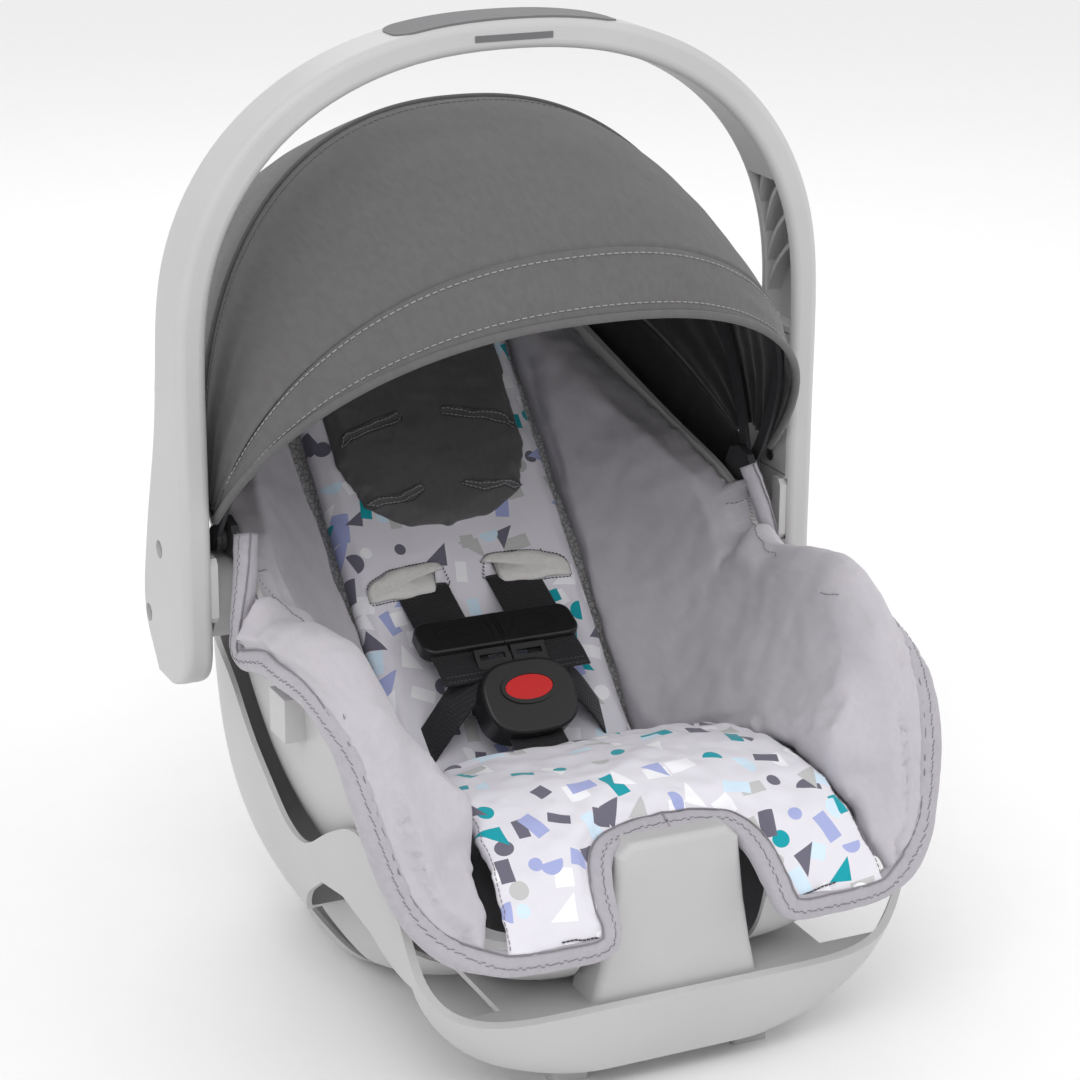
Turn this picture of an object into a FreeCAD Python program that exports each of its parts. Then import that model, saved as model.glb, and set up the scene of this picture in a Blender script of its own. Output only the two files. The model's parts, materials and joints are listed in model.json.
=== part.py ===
import FreeCAD, Part
import math
import os

import Sketcher
from FreeCAD import Placement, Rotation, Vector

# Infant car seat: a base, a carrier that lifts off it, a carrying handle and a folding canopy.
# Millimetres.  +X is the seat's left-hand side seen from its foot end, +Y runs from the foot
# end to the head end, +Z is up.  The origin is on the floor, under the handle's plane.

# ---------------------------------------------------------------- driving dimensions
SIZES = {
    # carrier shell and its lining
    "shell_half_width": 178.0, "shell_wall": 3.5, "rocker_height": 58.0, "lining_gap": 0.4,
    "foam_thickness": 12.0, "pad_thickness": 16.0, "centre_panel_half": 88.0,
    # handle bow and hubs
    "handle_half_width": "=shell_half_width + 43", "handle_top": 600.0, "handle_spring_height": 400.0,
    "handle_thickness": 19.0, "handle_front": -18.0, "pivot_height": 245.0, "pivot_depth": 20.0,
    "pin_radius": 8.0, "running_gap": 0.05, "cover_thickness": 4.0, "boss_radius": 27.0,
    "hub_gap": 0.6, "screw_radius": 3.0, "screw_head_radius": 5.5, "grip_length": 150.0,
    # base
    "base_half_width": "=shell_half_width", "base_wall": 3.5, "base_gap": 0.3, "deck_thickness": 4.0,
    "tower_half_width": 42.0, "tower_height": 157.0, "tower_front": -256.0, "tower_depth": 30.0,
    "tower_gap": 2.5,
    # harness
    "webbing_width": 38.0, "webbing_thickness": 1.6, "webbing_gap": 0.3, "strap_offset": 33.0,
    "clip_end_wall": 4.0, "clip_length": "=2 * (strap_offset + webbing_width / 2 + clip_end_wall)",
    "clip_depth": 29.0, "clip_thickness": 9.0, "buckle_width": 64.0, "buckle_length": 52.0,
    "buckle_thickness": 22.0, "button_length": 33.0, "button_width": 17.0, "button_travel": 3.5,
    # canopy
    "canopy_pivot_height": 285.0, "canopy_pivot_depth": 10.0, "canopy_inset": 6.0,
    "canopy_half_width": "=handle_half_width - handle_thickness - canopy_inset",
    "bow_thickness": 3.0, "bow_width": 9.0, "fabric_thickness": 1.6,
    "release_travel": 4.0, "lever_width": 90.0, "bar_radius": 4.0,
}

document = FreeCAD.newDocument("InfantCarSeat")
sheet = document.addObject("Spreadsheet::Sheet", "Sizes")
for row, (alias, number) in enumerate(SIZES.items(), start=1):
    sheet.set(f"A{row}", alias)
    sheet.set(f"B{row}", str(number))
    sheet.setAlias(f"B{row}", alias)
document.recompute()


def size(alias):
    """The number held by the sheet's cell of that name."""
    return float(sheet.get(alias))


NODES = []


def keep(item, label):
    """Give a finished object its sub-part name and list it for writing."""
    item.Label = label
    NODES.append(item)
    return item


def solid_feature(label, shape):
    """A sub-part whose shape is worked out by Part's own functions."""
    item = document.addObject("Part::Feature", label)
    place = shape.Placement
    item.Shape = shape
    item.Placement = place
    return keep(item, label)


AXIS_TURN = {"x": Rotation(Vector(0, 1, 0), 90), "y": Rotation(Vector(1, 0, 0), -90),
             "z": Rotation()}


def rod(name, radius, height, at, axis="z"):
    """A cylinder of the given expressions, starting at a point and running along an axis."""
    item = document.addObject("Part::Cylinder", name)
    item.setExpression("Radius", radius)
    item.setExpression("Height", height)
    item.Placement = Placement(Vector(), AXIS_TURN[axis])
    for letter, text in zip("xyz", at):
        item.setExpression(f"Placement.Base.{letter}", text)
    return item


def cut(name, base, tool):
    """The first object with the second taken away."""
    item = document.addObject("Part::Cut", name)
    item.Base, item.Tool = base, tool
    return item


def along(axis):
    """A picker of straight edges parallel to an axis vector."""
    def picker(edge):
        straight = isinstance(edge.Curve, Part.Line)
        return straight and abs(abs(edge.tangentAt(edge.FirstParameter).dot(axis)) - 1) < 1e-6
    return picker


def sketch_body(label, role, outline, length, offset="0"):
    """A PartDesign body: one closed outline on an origin plane, padded by an expression.

    outline is a list of points on the plane, and offset moves the sketch along its normal.
    """
    body = document.addObject("PartDesign::Body", label)
    plane = next(item for item in body.Origin.OriginFeatures if item.Role == role)
    sketch = body.newObject("Sketcher::SketchObject", label + "_outline")
    sketch.AttachmentSupport = [(plane, "")]
    sketch.MapMode = "FlatFace"
    sketch.setExpression("AttachmentOffset.Base.z", offset)
    count = len(outline)
    for number, start in enumerate(outline):
        end = outline[(number + 1) % count]
        sketch.addGeometry(Part.LineSegment(Vector(*start, 0), Vector(*end, 0)), False)
    for number in range(count):
        sketch.addConstraint(Sketcher.Constraint("Coincident", number, 2, (number + 1) % count, 1))
    pad = body.newObject("PartDesign::Pad", label + "_pad")
    pad.Profile = sketch
    pad.setExpression("Length", length)
    body.Tip = pad
    return body


def ring(points):
    """A closed smooth wire pulled towards its points."""
    curve = Part.BSplineCurve()
    curve.buildFromPoles([Vector(*point) for point in points], True, 3)
    return Part.Wire(curve.toShape())


def plan_ring(level, grow=0.0):
    """A plan outline, symmetric about the middle, grown outwards by grow."""
    height, front, front_half, side_half, rear_half, rear = level
    front, rear = front - grow, rear + grow
    front_half, side_half, rear_half = front_half + grow, side_half + grow, rear_half + grow
    stations = [front + share * (rear - front) for share in (0.14, 0.45, 0.78)]
    right = [(front_half / 2, front), (front_half, front)]
    right += [(side_half, station) for station in stations] + [(rear_half, rear)]
    outline = [(0, front)] + right + [(0, rear)] + [(-x, y) for x, y in reversed(right)]
    return ring([(x, y, height) for x, y in outline])


def tub(levels, grow=0.0, straight=False):
    """A solid through plan outlines at rising heights, curved or straight between them."""
    return Part.makeLoft([plan_ring(level, grow) for level in levels], True, straight)


def side_prism(outline, half_width):
    """An outline in the YZ plane carried across from -half_width to +half_width."""
    points = [Vector(-half_width, y, z) for y, z in outline]
    wire = Part.makePolygon(points + [points[0]])
    return Part.Face(wire).extrude(Vector(2 * half_width, 0, 0))


def above(profile, half_width, top):
    """Everything above a smooth rim line in the YZ plane, up to top."""
    curve = Part.BSplineCurve()
    curve.interpolate([Vector(-half_width, y, z) for y, z in profile])
    first, last = profile[0], profile[-1]
    corners = [Vector(-half_width, last[0], last[1]), Vector(-half_width, last[0], top),
               Vector(-half_width, first[0], top), Vector(-half_width, first[0], first[1])]
    wire = Part.Wire([curve.toShape()] + [Part.makeLine(a, b) for a, b in zip(corners, corners[1:])])
    return Part.Face(wire).extrude(Vector(2 * half_width, 0, 0))


def block(low, high):
    """A plain box between two corners, used as a cutting or clipping volume."""
    low, high = Vector(*low), Vector(*high)
    return Part.makeBox(high.x - low.x, high.y - low.y, high.z - low.z, low)


def mirrored(shape):
    """The same shape on the other side of the middle plane."""
    return shape.mirror(Vector(), Vector(1, 0, 0))


FAR = 900.0

# ---------------------------------------------------------------- the back's slope
SLOPE = math.radians(46.7)
BIGHT = Vector(0, -40, 108)
UP_BACK = Vector(0, math.cos(SLOPE), math.sin(SLOPE))
OUT_OF_BACK = Vector(0, -math.sin(SLOPE), math.cos(SLOPE))
BACK_TURN = Rotation(Vector(1, 0, 0), math.degrees(SLOPE))


def on_back(across, up, out):
    """A point given across the seat, up the back from the bight, and out of the back."""
    return BIGHT + Vector(across, 0, 0) + UP_BACK * up + OUT_OF_BACK * out


def back_slab(half_width, low, high, inner, outer):
    """A slab lying on the back between two heights along it and two distances out of it."""
    slab = Part.makeBox(2 * half_width, high - low, outer - inner, Vector(-half_width, low, inner))
    slab.Placement = Placement(BIGHT, BACK_TURN)
    return slab


# ---------------------------------------------------------------- carrier shell
shell_half = size("shell_half_width")
wall = size("shell_wall")
rocker = size("rocker_height")
STRAP_OFFSET = size("strap_offset")

SHELL_LEVELS = [
    (rocker, -205, 60, shell_half - 84, 60, -8), (rocker + 14, -238, 95, shell_half - 54, 88, 18),
    (rocker + 47, -256, 128, shell_half - 26, 108, 50),
    (rocker + 107, -262, 145, shell_half - 8, 122, 104),
    (rocker + 187, -264, 152, shell_half - 2, 132, 164), (rocker + 272, -264, 154, shell_half, 128, 230),
    (rocker + 372, -264, 154, shell_half - 8, 106, 296),
]
LINING_LEVELS = [(level[0] + wall, *level[1:]) for level in SHELL_LEVELS[:1]] + SHELL_LEVELS[1:-1]
LINING_LEVELS += [(SHELL_LEVELS[-1][0] + wall, *SHELL_LEVELS[-1][1:])]
SHELL_RIM = [(-300, 98), (-262, 100), (-246, 128), (-230, 180), (-208, 220), (-185, 240), (-150, 258),
             (-100, 254), (-45, 246), (-5, 270), (60, 292), (140, 322), (210, 364), (268, 406),
             (330, 424)]

pivot_y, pivot_z = size("pivot_depth"), size("pivot_height")
handle_half = size("handle_half_width")
handle_wall = size("handle_thickness")
arm_inner = handle_half - handle_wall
cover = size("cover_thickness")
hub_gap = size("hub_gap")
boss_face = arm_inner - cover - hub_gap

tower_half = size("tower_half_width")
tower_front = size("tower_front")
tower_depth = size("tower_depth")
tower_gap = size("tower_gap")
tower_height = size("tower_height")
RECESS = block((-tower_half - 14 - tower_gap, -FAR, -1),
               (tower_half + 14 + tower_gap, tower_front + tower_depth + tower_gap, tower_height + 6))

shell_outer = tub(SHELL_LEVELS)
lining_space = tub(LINING_LEVELS, -wall)
rim_waste = above(SHELL_RIM, FAR / 3, FAR)
boss_radius = size("boss_radius")
boss = Part.makeCylinder(boss_radius, boss_face - shell_half + 14,
                         Vector(shell_half - 14, pivot_y, pivot_z), Vector(1, 0, 0))
pin_radius = size("pin_radius")
pin_bore = Part.makeCylinder(pin_radius, 60, Vector(shell_half - 20, pivot_y, pivot_z), Vector(1, 0, 0))
shell = shell_outer.fuse([boss, mirrored(boss)])
shell = shell.cut([lining_space, rim_waste, RECESS, pin_bore, mirrored(pin_bore)])
solid_feature("carrier_shell", max(shell.Solids, key=lambda part: part.Volume))

lining = size("lining_gap")
lining_rim = [(y, z - 1.0) for y, z in SHELL_RIM]
pad_space = tub(LINING_LEVELS, -wall - lining).cut(above(lining_rim, FAR / 3, FAR))

# foam between the shell and the pad, behind the back
foam = size("foam_thickness")
pad = size("pad_thickness")
panel = size("centre_panel_half")
foam_slab = back_slab(FAR / 6, 6, 396, -pad - foam, -pad - lining)
strap_slots = []
for sign in (-1, 1):
    slot = back_slab(size("webbing_width") / 2 + 3, 140, 151, -pad - foam - 2, 6)
    slot.translate(Vector(sign * STRAP_OFFSET, 0, 0))
    strap_slots.append(slot)
solid_feature("foam_liner", foam_slab.common(pad_space).cut(strap_slots))

# ---------------------------------------------------------------- soft pieces in the carrier
back_pad = back_slab(panel - lining, 0, 402, -pad, 0).common(pad_space).cut(strap_slots)
solid_feature("back_pad", back_pad)

SEAT_PROFILE = [(-44, 108), (-90, 138), (-128, 164), (-160, 174), (-190, 172), (-228, 158), (-262, 138),
                (-284, 116), (-286, 105), (-268, 104), (-256, 104), (-246, 96), (-225, 78), (-70, 68),
                (-34, 84)]
seat_room = pad_space.fuse(block((-FAR, -296, 103), (FAR, -252, 200)))
seat_half = shell_half - 36
cushion = side_prism(SEAT_PROFILE, seat_half).common(seat_room).cut(RECESS).cut(shell)
FLAP_SLOT = block((-tower_half - 9, -FAR, 0), (tower_half + 9, tower_front + tower_depth + tower_gap, 400))
cushion = cushion.cut(FLAP_SLOT)
cushion = cushion.cut(back_slab(FAR / 6, -60, 402, -pad - foam, lining))
solid_feature("seat_cushion", max(cushion.Solids, key=lambda part: part.Volume))

CAVITY_LEVELS = [
    (112, -150, 50, panel, 56, -30), (165, -216, 70, shell_half - 60, 74, 22),
    (245, -300, 120, shell_half - 20, 108, 96), (330, -300, 120, shell_half - 18, 118, 180),
    (470, -300, 120, shell_half - 18, 104, 306),
]
wing_room = pad_space.cut(tub(CAVITY_LEVELS)).cut(side_prism(SEAT_PROFILE, seat_half + 0.3))
wing_room = wing_room.cut(back_slab(FAR / 6, -60, 402, -pad - foam, -pad))
for side, sign in (("left", -1), ("right", 1)):
    near, far = sorted((sign * panel, sign * FAR))
    wing = wing_room.common(block((near, -232, 112), (far, 262, FAR)))
    solid_feature(f"wing_{side}", max(wing.Solids, key=lambda part: part.Volume))

head_points = [(-72, 232), (-58, 200), (-30, 184), (0, 180), (30, 184), (58, 200), (72, 232), (76, 372),
               (-76, 372)]
head_wire = Part.makePolygon([Vector(x, y, lining) for x, y in head_points + head_points[:1]])
head_panel = Part.Face(head_wire).extrude(Vector(0, 0, 7))
head_panel.Placement = Placement(BIGHT, BACK_TURN)
solid_feature("head_panel", head_panel)

# ---------------------------------------------------------------- base
base_half = size("base_half_width")
base_wall = size("base_wall")
deck = size("deck_thickness")
deck_top = rocker - size("base_gap")
BASE_LEVELS = [
    (14, -256, 74, base_half - 56, 86, 66), (35, -262, 124, base_half - 34, 104, 92),
    (60, -264, 150, base_half - 16, 118, 116), (88, -262, 166, base_half - 6, 128, 138),
    (125, -258, 172, base_half - 2, 134, 158), (192, -256, 174, base_half, 138, 168),
]
BASE_RIM = [(-320, 57), (-264, 58), (-252, 68), (-240, 104), (-218, 148), (-181, 161), (-155, 152),
            (-130, 138), (-90, 118), (-62, 122), (-38, 135), (-3, 156), (30, 180), (70, 190), (240, 191)]
ARCH_PROFILE = [(-240, 5), (-238, 84), (-200, 104), (-158, 110), (-123, 104), (-92, 84), (-54, 52),
                (-14, 41), (240, 41), (240, 5)]
outer_skirt = tub(BASE_LEVELS)
inner_levels = [(BASE_LEVELS[0][0] - 1, *BASE_LEVELS[0][1:])] + BASE_LEVELS[1:-1]
inner_levels += [(BASE_LEVELS[-1][0] + 1, *BASE_LEVELS[-1][1:])]
inner_skirt = tub(inner_levels, -base_wall)
skirt = outer_skirt.cut(inner_skirt)
deck_plate = outer_skirt.common(block((-FAR, -FAR, deck_top - deck), (FAR, FAR, deck_top)))
housing = skirt.fuse(deck_plate).cut(above(BASE_RIM, FAR / 3, FAR))
arch_waste = side_prism(ARCH_PROFILE, FAR / 3)
ARCH_INNER, ARCH_END = base_half - 70, -60.0
housing = housing.cut(arch_waste.cut(block((-ARCH_INNER, -FAR, -FAR), (ARCH_INNER, ARCH_END, FAR))))
TOWER_OUTLINE = [(-tower_half - 14, deck_top - deck), (-tower_half - 8, 80), (-tower_half - 3, 108),
                 (-tower_half + 2, tower_height - 8), (-tower_half + 10, tower_height),
                 (tower_half - 10, tower_height), (tower_half - 2, tower_height - 8),
                 (tower_half + 3, 108), (tower_half + 8, 80), (tower_half + 14, deck_top - deck)]


def tower_block(inset, front, depth):
    """The upright block at the foot end, its outline drawn in by inset."""
    outline = []
    for x, z in TOWER_OUTLINE:
        side = math.copysign(1, x)
        outline.append(Vector(x - side * inset, front, z - (inset if z > 120 else 0)))
    wire = Part.makePolygon(outline + outline[:1])
    return Part.Face(wire).extrude(Vector(0, depth, 0))


tower = tower_block(0, tower_front, tower_depth)
front_edges = [edge for edge in tower.Edges
               if all(abs(vertex.Y - tower_front) < 1e-6 and vertex.Z > deck_top - deck + 1
                      for vertex in edge.Vertexes)]
tower = tower.makeFillet(5.0, front_edges)
tower = tower.cut(tower_block(base_wall, tower_front + base_wall, tower_depth - 2 * base_wall))
housing = housing.fuse(tower)
solid_feature("base_housing", housing)

PAN_LEVELS = [
    (0, -58, 60, 118, 80, 84), (8, -84, 76, 127, 92, 94), (24, -128, 92, 132, 98, 100),
    (deck_top - deck - 0.2, -176, 104, 130, 100, 102),
]
pan_inner = [(level[0] + (base_wall if number == 0 else 0), *level[1:])
             for number, level in enumerate(PAN_LEVELS)]
pan_inner[-1] = (PAN_LEVELS[-1][0] + 1, *PAN_LEVELS[-1][1:])
pan = tub(PAN_LEVELS, 0, True).cut(tub(pan_inner, -base_wall, True))
pan = pan.common(inner_skirt.fuse(block((-FAR, -FAR, -1), (FAR, FAR, 16))))
solid_feature("base_pan", pan)

foot_x, foot_y = 61.0, -231.0
feet = []
for sign in (-1, 1):
    pad_block = block((sign * foot_x - 12, foot_y - 8, 0),
                      (sign * foot_x + 12, foot_y + 8, deck_top - deck))
    upright = [edge for edge in pad_block.Edges if along(Vector(0, 0, 1))(edge)]
    feet.append(pad_block.makeFillet(3.0, upright))
solid_feature("front_feet", Part.makeCompound(feet))

# ---------------------------------------------------------------- handle
handle_top = size("handle_top")
spring_height = size("handle_spring_height")
ARCH_POWER = 2.3
ARCH_STEPS = 7


def rounded_section(outer, inner, front, rear, radius):
    """A rounded four-sided wire between an outer and an inner point, from front to rear in Y."""
    across = (inner - outer).normalize()
    depth = Vector(0, 1, 0)
    corners = [(Vector(outer.x, front, outer.z), across, depth),
               (Vector(outer.x, rear, outer.z), depth * -1, across),
               (Vector(inner.x, rear, inner.z), across * -1, depth * -1),
               (Vector(inner.x, front, inner.z), depth, across * -1)]
    bite = radius * (1 - math.sqrt(0.5))
    arcs = []
    for corner, toward, away in corners:
        arcs.append((corner + toward * radius, corner + (toward + away) * bite, corner + away * radius))
    edges = []
    for number, (start, middle, end) in enumerate(arcs):
        edges.append(Part.Arc(start, middle, end).toShape())
        edges.append(Part.makeLine(end, arcs[(number + 1) % 4][0]))
    return Part.Wire(edges)


def crown_point(half, top, spring, angle):
    """A point of the bow's superelliptic crown."""
    reach = math.copysign(abs(math.cos(angle)) ** (2 / ARCH_POWER), math.cos(angle))
    rise = math.sin(angle) ** (2 / ARCH_POWER)
    return Vector(half * reach, 0, spring + (top - spring) * rise)


front_y = size("handle_front")
ARM_STATIONS = [(190.5, 15, 36), (195.5, 0, 44), (203, -11, 50), (215, -17, 60), (238, front_y, 66),
                (262, front_y, 62), (300, front_y, 52), (345, front_y, 38), (spring_height, front_y, 29)]
ARM_END = 193.0
CROWN_REAR = 22.0
SECTION_RADIUS = 5.5


def hoop_solid(half, thickness, top):
    """The whole bow: two arms and the crown as one loft of rounded sections."""
    sections = []
    for height, front, rear in ARM_STATIONS:
        sections.append((Vector(half, 0, height), Vector(half - thickness, 0, height), front, rear))
    for step in range(1, 2 * ARCH_STEPS):
        angle = math.pi * step / (2 * ARCH_STEPS)
        low_side = abs(math.cos(angle)) ** 3
        rear = CROWN_REAR + (ARM_STATIONS[-1][2] - CROWN_REAR) * low_side
        crown_inner = crown_point(half - thickness, top - thickness, spring_height, angle)
        sections.append((crown_point(half, top, spring_height, angle), crown_inner, front_y, rear))
    for height, front, rear in reversed(ARM_STATIONS):
        sections.append((Vector(-half, 0, height), Vector(thickness - half, 0, height), front, rear))
    wires = [rounded_section(*section, SECTION_RADIUS) for section in sections]
    return Part.makeLoft(wires, True, False)


bow = hoop_solid(handle_half, handle_wall, handle_top)


def arm_outer(height):
    """How far out the arm's outer face lies at a height."""
    rise = max(0.0, height - spring_height) / (handle_top - spring_height)
    return handle_half * (1 - rise ** ARCH_POWER) ** (1 / ARCH_POWER)


WINDOW_TOP, WINDOW_LOW, RIB_COUNT, WINDOW_STEPS = 484.0, 384.0, 4, 4
ARM_SKIN, RIB_INSET, OPEN_SIDE = 7.0, 1.5, 20.0
CHANNEL_DEPTH = 12.0
WINDOW_FRONT, WINDOW_REAR = front_y + 4, 20.0
window_levels = [WINDOW_LOW + (WINDOW_TOP - WINDOW_LOW) * step / WINDOW_STEPS
                 for step in range(WINDOW_STEPS + 1)]


def arm_zone(near, far):
    """A block over the window's height, between two depths from the arm's outer face."""
    outline = [Vector(arm_outer(level) - near, WINDOW_FRONT, level) for level in window_levels]
    outline += [Vector(arm_outer(level) - far, WINDOW_FRONT, level) for level in reversed(window_levels)]
    face = Part.Face(Part.makePolygon(outline + outline[:1]))
    return face.extrude(Vector(0, WINDOW_REAR - WINDOW_FRONT, 0))


rib_pitch = (WINDOW_TOP - WINDOW_LOW) / (RIB_COUNT + 1)
window = arm_zone(handle_wall + OPEN_SIDE, ARM_SKIN)
rib_zone = arm_zone(handle_wall - RIB_INSET, 0)
RIB_RADIUS, RIB_THICKNESS = 91.0, 2.5
RIB_CENTRE_BACK, RIB_CENTRE_DOWN = -60.0, 40.0
ribs = []
for number in range(1, RIB_COUNT + 1):
    centre = Vector(arm_inner - OPEN_SIDE, RIB_CENTRE_BACK,
                    WINDOW_LOW + rib_pitch * number - RIB_CENTRE_DOWN)
    arc_outer = Part.makeCylinder(RIB_RADIUS, 2 * OPEN_SIDE, centre, Vector(1, 0, 0))
    arc_inner = Part.makeCylinder(RIB_RADIUS - RIB_THICKNESS, 2 * OPEN_SIDE, centre, Vector(1, 0, 0))
    ribs.append(arc_outer.cut(arc_inner).common(rib_zone))
window = window.cut(Part.makeCompound(ribs))
plate_low, plate_high = 282.0, WINDOW_LOW - 4
plate_seat = block((arm_inner - 20, front_y + 4, plate_low), (arm_inner + CHANNEL_DEPTH, 24, plate_high))
arm_tools = [window, plate_seat, block((0, -FAR, 0), (FAR, FAR, ARM_END))]


def crown_curve(half, top, spread):
    """The bow's crown line between two angles either side of the top, as one edge."""
    points = [crown_point(half, top, spring_height, math.pi / 2 + spread * step / GRIP_STEPS)
              for step in range(-GRIP_STEPS, GRIP_STEPS + 1)]
    curve = Part.BSplineCurve()
    curve.interpolate(points)
    return curve.toShape()


GRIP_STEPS, GRIP_CORNER = 3, 12.0
GRIP_PROUD, GRIP_SUNK = 0.8, 3.0
grip_spread = math.asin((size("grip_length") / 2 / handle_half) ** (ARCH_POWER / 2))
grip_top = crown_curve(handle_half + GRIP_PROUD, handle_top + GRIP_PROUD, grip_spread)
grip_under = crown_curve(handle_half - GRIP_SUNK, handle_top - GRIP_SUNK, grip_spread)
grip_ends = [Part.makeLine(grip_top.lastVertex().Point, grip_under.lastVertex().Point),
             Part.makeLine(grip_under.firstVertex().Point, grip_top.firstVertex().Point)]
grip_wire = Part.Wire([grip_top, grip_ends[0], grip_under, grip_ends[1]])
grip_insert = Part.Face(grip_wire).extrude(Vector(0, CROWN_REAR - front_y - 6, 0))
grip_insert.translate(Vector(0, front_y + 3, 0))
grip_corners = [edge for edge in grip_insert.Edges
                if edge.Length < 2 * (GRIP_PROUD + GRIP_SUNK) and edge.BoundBox.YLength < 1e-6]
grip_insert = grip_insert.makeFillet(GRIP_CORNER, grip_corners)
solid_feature("handle_grip", grip_insert)
slot_insert = block((-26, front_y - 0.5, handle_top - 13), (26, front_y + 2, handle_top - 9))
solid_feature("handle_slot_insert", slot_insert)
handle_bore = Part.makeCylinder(pin_radius + size("running_gap"), 12,
                                Vector(arm_inner - 6, pivot_y, pivot_z), Vector(1, 0, 0))
SCREWS = ((29.0, 276.0), (54.0, 226.0))
screw_r, head_r = size("screw_radius"), size("screw_head_radius")
SCREW_DEPTH = 3.0


def hub_screw(y, z):
    """One recessed screw in the outer face of the arm: head and shank."""
    outer = handle_half - SCREW_DEPTH
    head = Part.makeCone(head_r, head_r - 1, 2.0, Vector(outer, y, z), Vector(-1, 0, 0))
    shank = Part.makeCylinder(screw_r, outer - arm_inner - 2, Vector(arm_inner, y, z), Vector(1, 0, 0))
    slot = block((outer - 1, y - head_r, z - 0.6), (outer + 1, y + head_r, z + 0.6))
    return head.fuse(shank).cut(slot).removeSplitter()


screws = [hub_screw(*place) for place in SCREWS]
for place, screw in zip(SCREWS, screws):
    well = Part.makeCylinder(head_r + 0.4, SCREW_DEPTH + 1, Vector(handle_half - SCREW_DEPTH, *place),
                             Vector(1, 0, 0))
    arm_tools += [well, screw]
arm_tools.append(handle_bore)
BUTTON_FRONT, BUTTON_REAR, BUTTON_LOW, BUTTON_HIGH, BUTTON_GAP = -15.5, -4.5, 238.0, 280.0, 0.3
BUTTON_POCKET = arm_inner + 3 + size("release_travel")
arm_tools.append(block((arm_inner - 1, BUTTON_FRONT - BUTTON_GAP, BUTTON_LOW - BUTTON_GAP),
                       (BUTTON_POCKET, BUTTON_REAR + BUTTON_GAP, BUTTON_HIGH + BUTTON_GAP)))
arm_tools += [mirrored(tool) for tool in arm_tools]
bow = bow.cut(arm_tools + [grip_insert, slot_insert])
solid_feature("handle_bow", bow.removeSplitter())
solid_feature("hub_screws", Part.makeCompound(screws + [mirrored(screw) for screw in screws]))

# ---------------------------------------------------------------- hub covers, pivot pins, arm covers
ARM_INNER = "Sizes.handle_half_width - Sizes.handle_thickness"
PIVOT = ("Sizes.pivot_depth", "Sizes.pivot_height")
HUB_COVER_RADIUS = "Sizes.boss_radius - 5"
BOSS_SINK, PIN_REACH = 2.0, 5.5
for side, sign in (("left", -1), ("right", 1)):
    inner_face = f"{ARM_INNER} - Sizes.cover_thickness" if sign > 0 else f"-({ARM_INNER})"
    disc = rod(f"hub_disc_{side}", HUB_COVER_RADIUS, "Sizes.cover_thickness", (inner_face, *PIVOT), "x")
    eye = rod(f"hub_eye_{side}", "Sizes.pin_radius + Sizes.running_gap", "Sizes.cover_thickness + 2",
              (f"{inner_face} - 1", *PIVOT), "x")
    keep(cut(f"hub_cover_{side}_cut", disc, eye), f"hub_cover_{side}")
    pin_start = "Sizes.shell_half_width - 2" if sign > 0 else f"-({ARM_INNER} + {PIN_REACH})"
    pin_length = f"{ARM_INNER} + {PIN_REACH} - Sizes.shell_half_width + {BOSS_SINK}"
    keep(rod(f"pivot_pin_{side}_rod", "Sizes.pin_radius", pin_length, (pin_start, *PIVOT), "x"),
         f"pivot_pin_{side}")

PLATE_THICKNESS = 2.0
PLATE_SCREW = (6.0, 292.0)
plate = block((arm_inner + 0.4, front_y + 5, plate_low + 1),
              (arm_inner + 0.4 + PLATE_THICKNESS, 23, plate_high - 1))
plate_shank = Part.makeCylinder(screw_r, 8, Vector(arm_inner + 0.4, *PLATE_SCREW), Vector(1, 0, 0))
plate_head = Part.makeCylinder(head_r - 1, 1.2, Vector(arm_inner - 0.8, *PLATE_SCREW), Vector(1, 0, 0))
plate_slot = block((arm_inner - 1, PLATE_SCREW[0] - head_r, PLATE_SCREW[1] - 0.5),
                   (arm_inner - 0.3, PLATE_SCREW[0] + head_r, PLATE_SCREW[1] + 0.5))
cover_screw = plate_head.fuse(plate_shank).cut(plate_slot).removeSplitter()
plate = plate.cut(plate_shank)
solid_feature("arm_cover_left", mirrored(plate))
solid_feature("arm_cover_right", plate)
solid_feature("arm_cover_screws", Part.makeCompound([cover_screw, mirrored(cover_screw)]))

# ---------------------------------------------------------------- handle release buttons and springs
for side, sign in (("left", -1), ("right", 1)):
    start = f"{ARM_INNER} - Sizes.cover_thickness" if sign > 0 else f"-({ARM_INNER}) - 2"
    outline = [(BUTTON_FRONT, BUTTON_LOW + 4), (BUTTON_FRONT + 3, BUTTON_LOW), (BUTTON_REAR, BUTTON_LOW),
               (BUTTON_REAR, BUTTON_HIGH), (BUTTON_FRONT + 3, BUTTON_HIGH), (BUTTON_FRONT, BUTTON_HIGH - 4)]
    keep(sketch_body(f"handle_button_{side}", "YZ_Plane", outline, "Sizes.cover_thickness + 2", start),
         f"handle_button_{side}")
    spring_start = f"{ARM_INNER} + 2" if sign > 0 else f"-({ARM_INNER}) - 2 - Sizes.release_travel - 1"
    centre = (str((BUTTON_FRONT + BUTTON_REAR) / 2), str((BUTTON_LOW + BUTTON_HIGH) / 2))
    coil = rod(f"button_coil_{side}", "3.5", "Sizes.release_travel + 1", (spring_start, *centre), "x")
    core_start = spring_start + " - 1"
    core = rod(f"button_core_{side}", "2.5", "Sizes.release_travel + 3", (core_start, *centre), "x")
    keep(cut(f"button_spring_{side}_cut", coil, core), f"button_spring_{side}")

# ---------------------------------------------------------------- harness
webbing, strap_t = size("webbing_width"), size("webbing_thickness")
STRAP_LOW, STRAP_HIGH = (70.0, 34.5), (143.0, 2.5)
STRAP_BACK, STRAP_TAIL = (146.5, -38.0), (118.0, -39.0)


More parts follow.
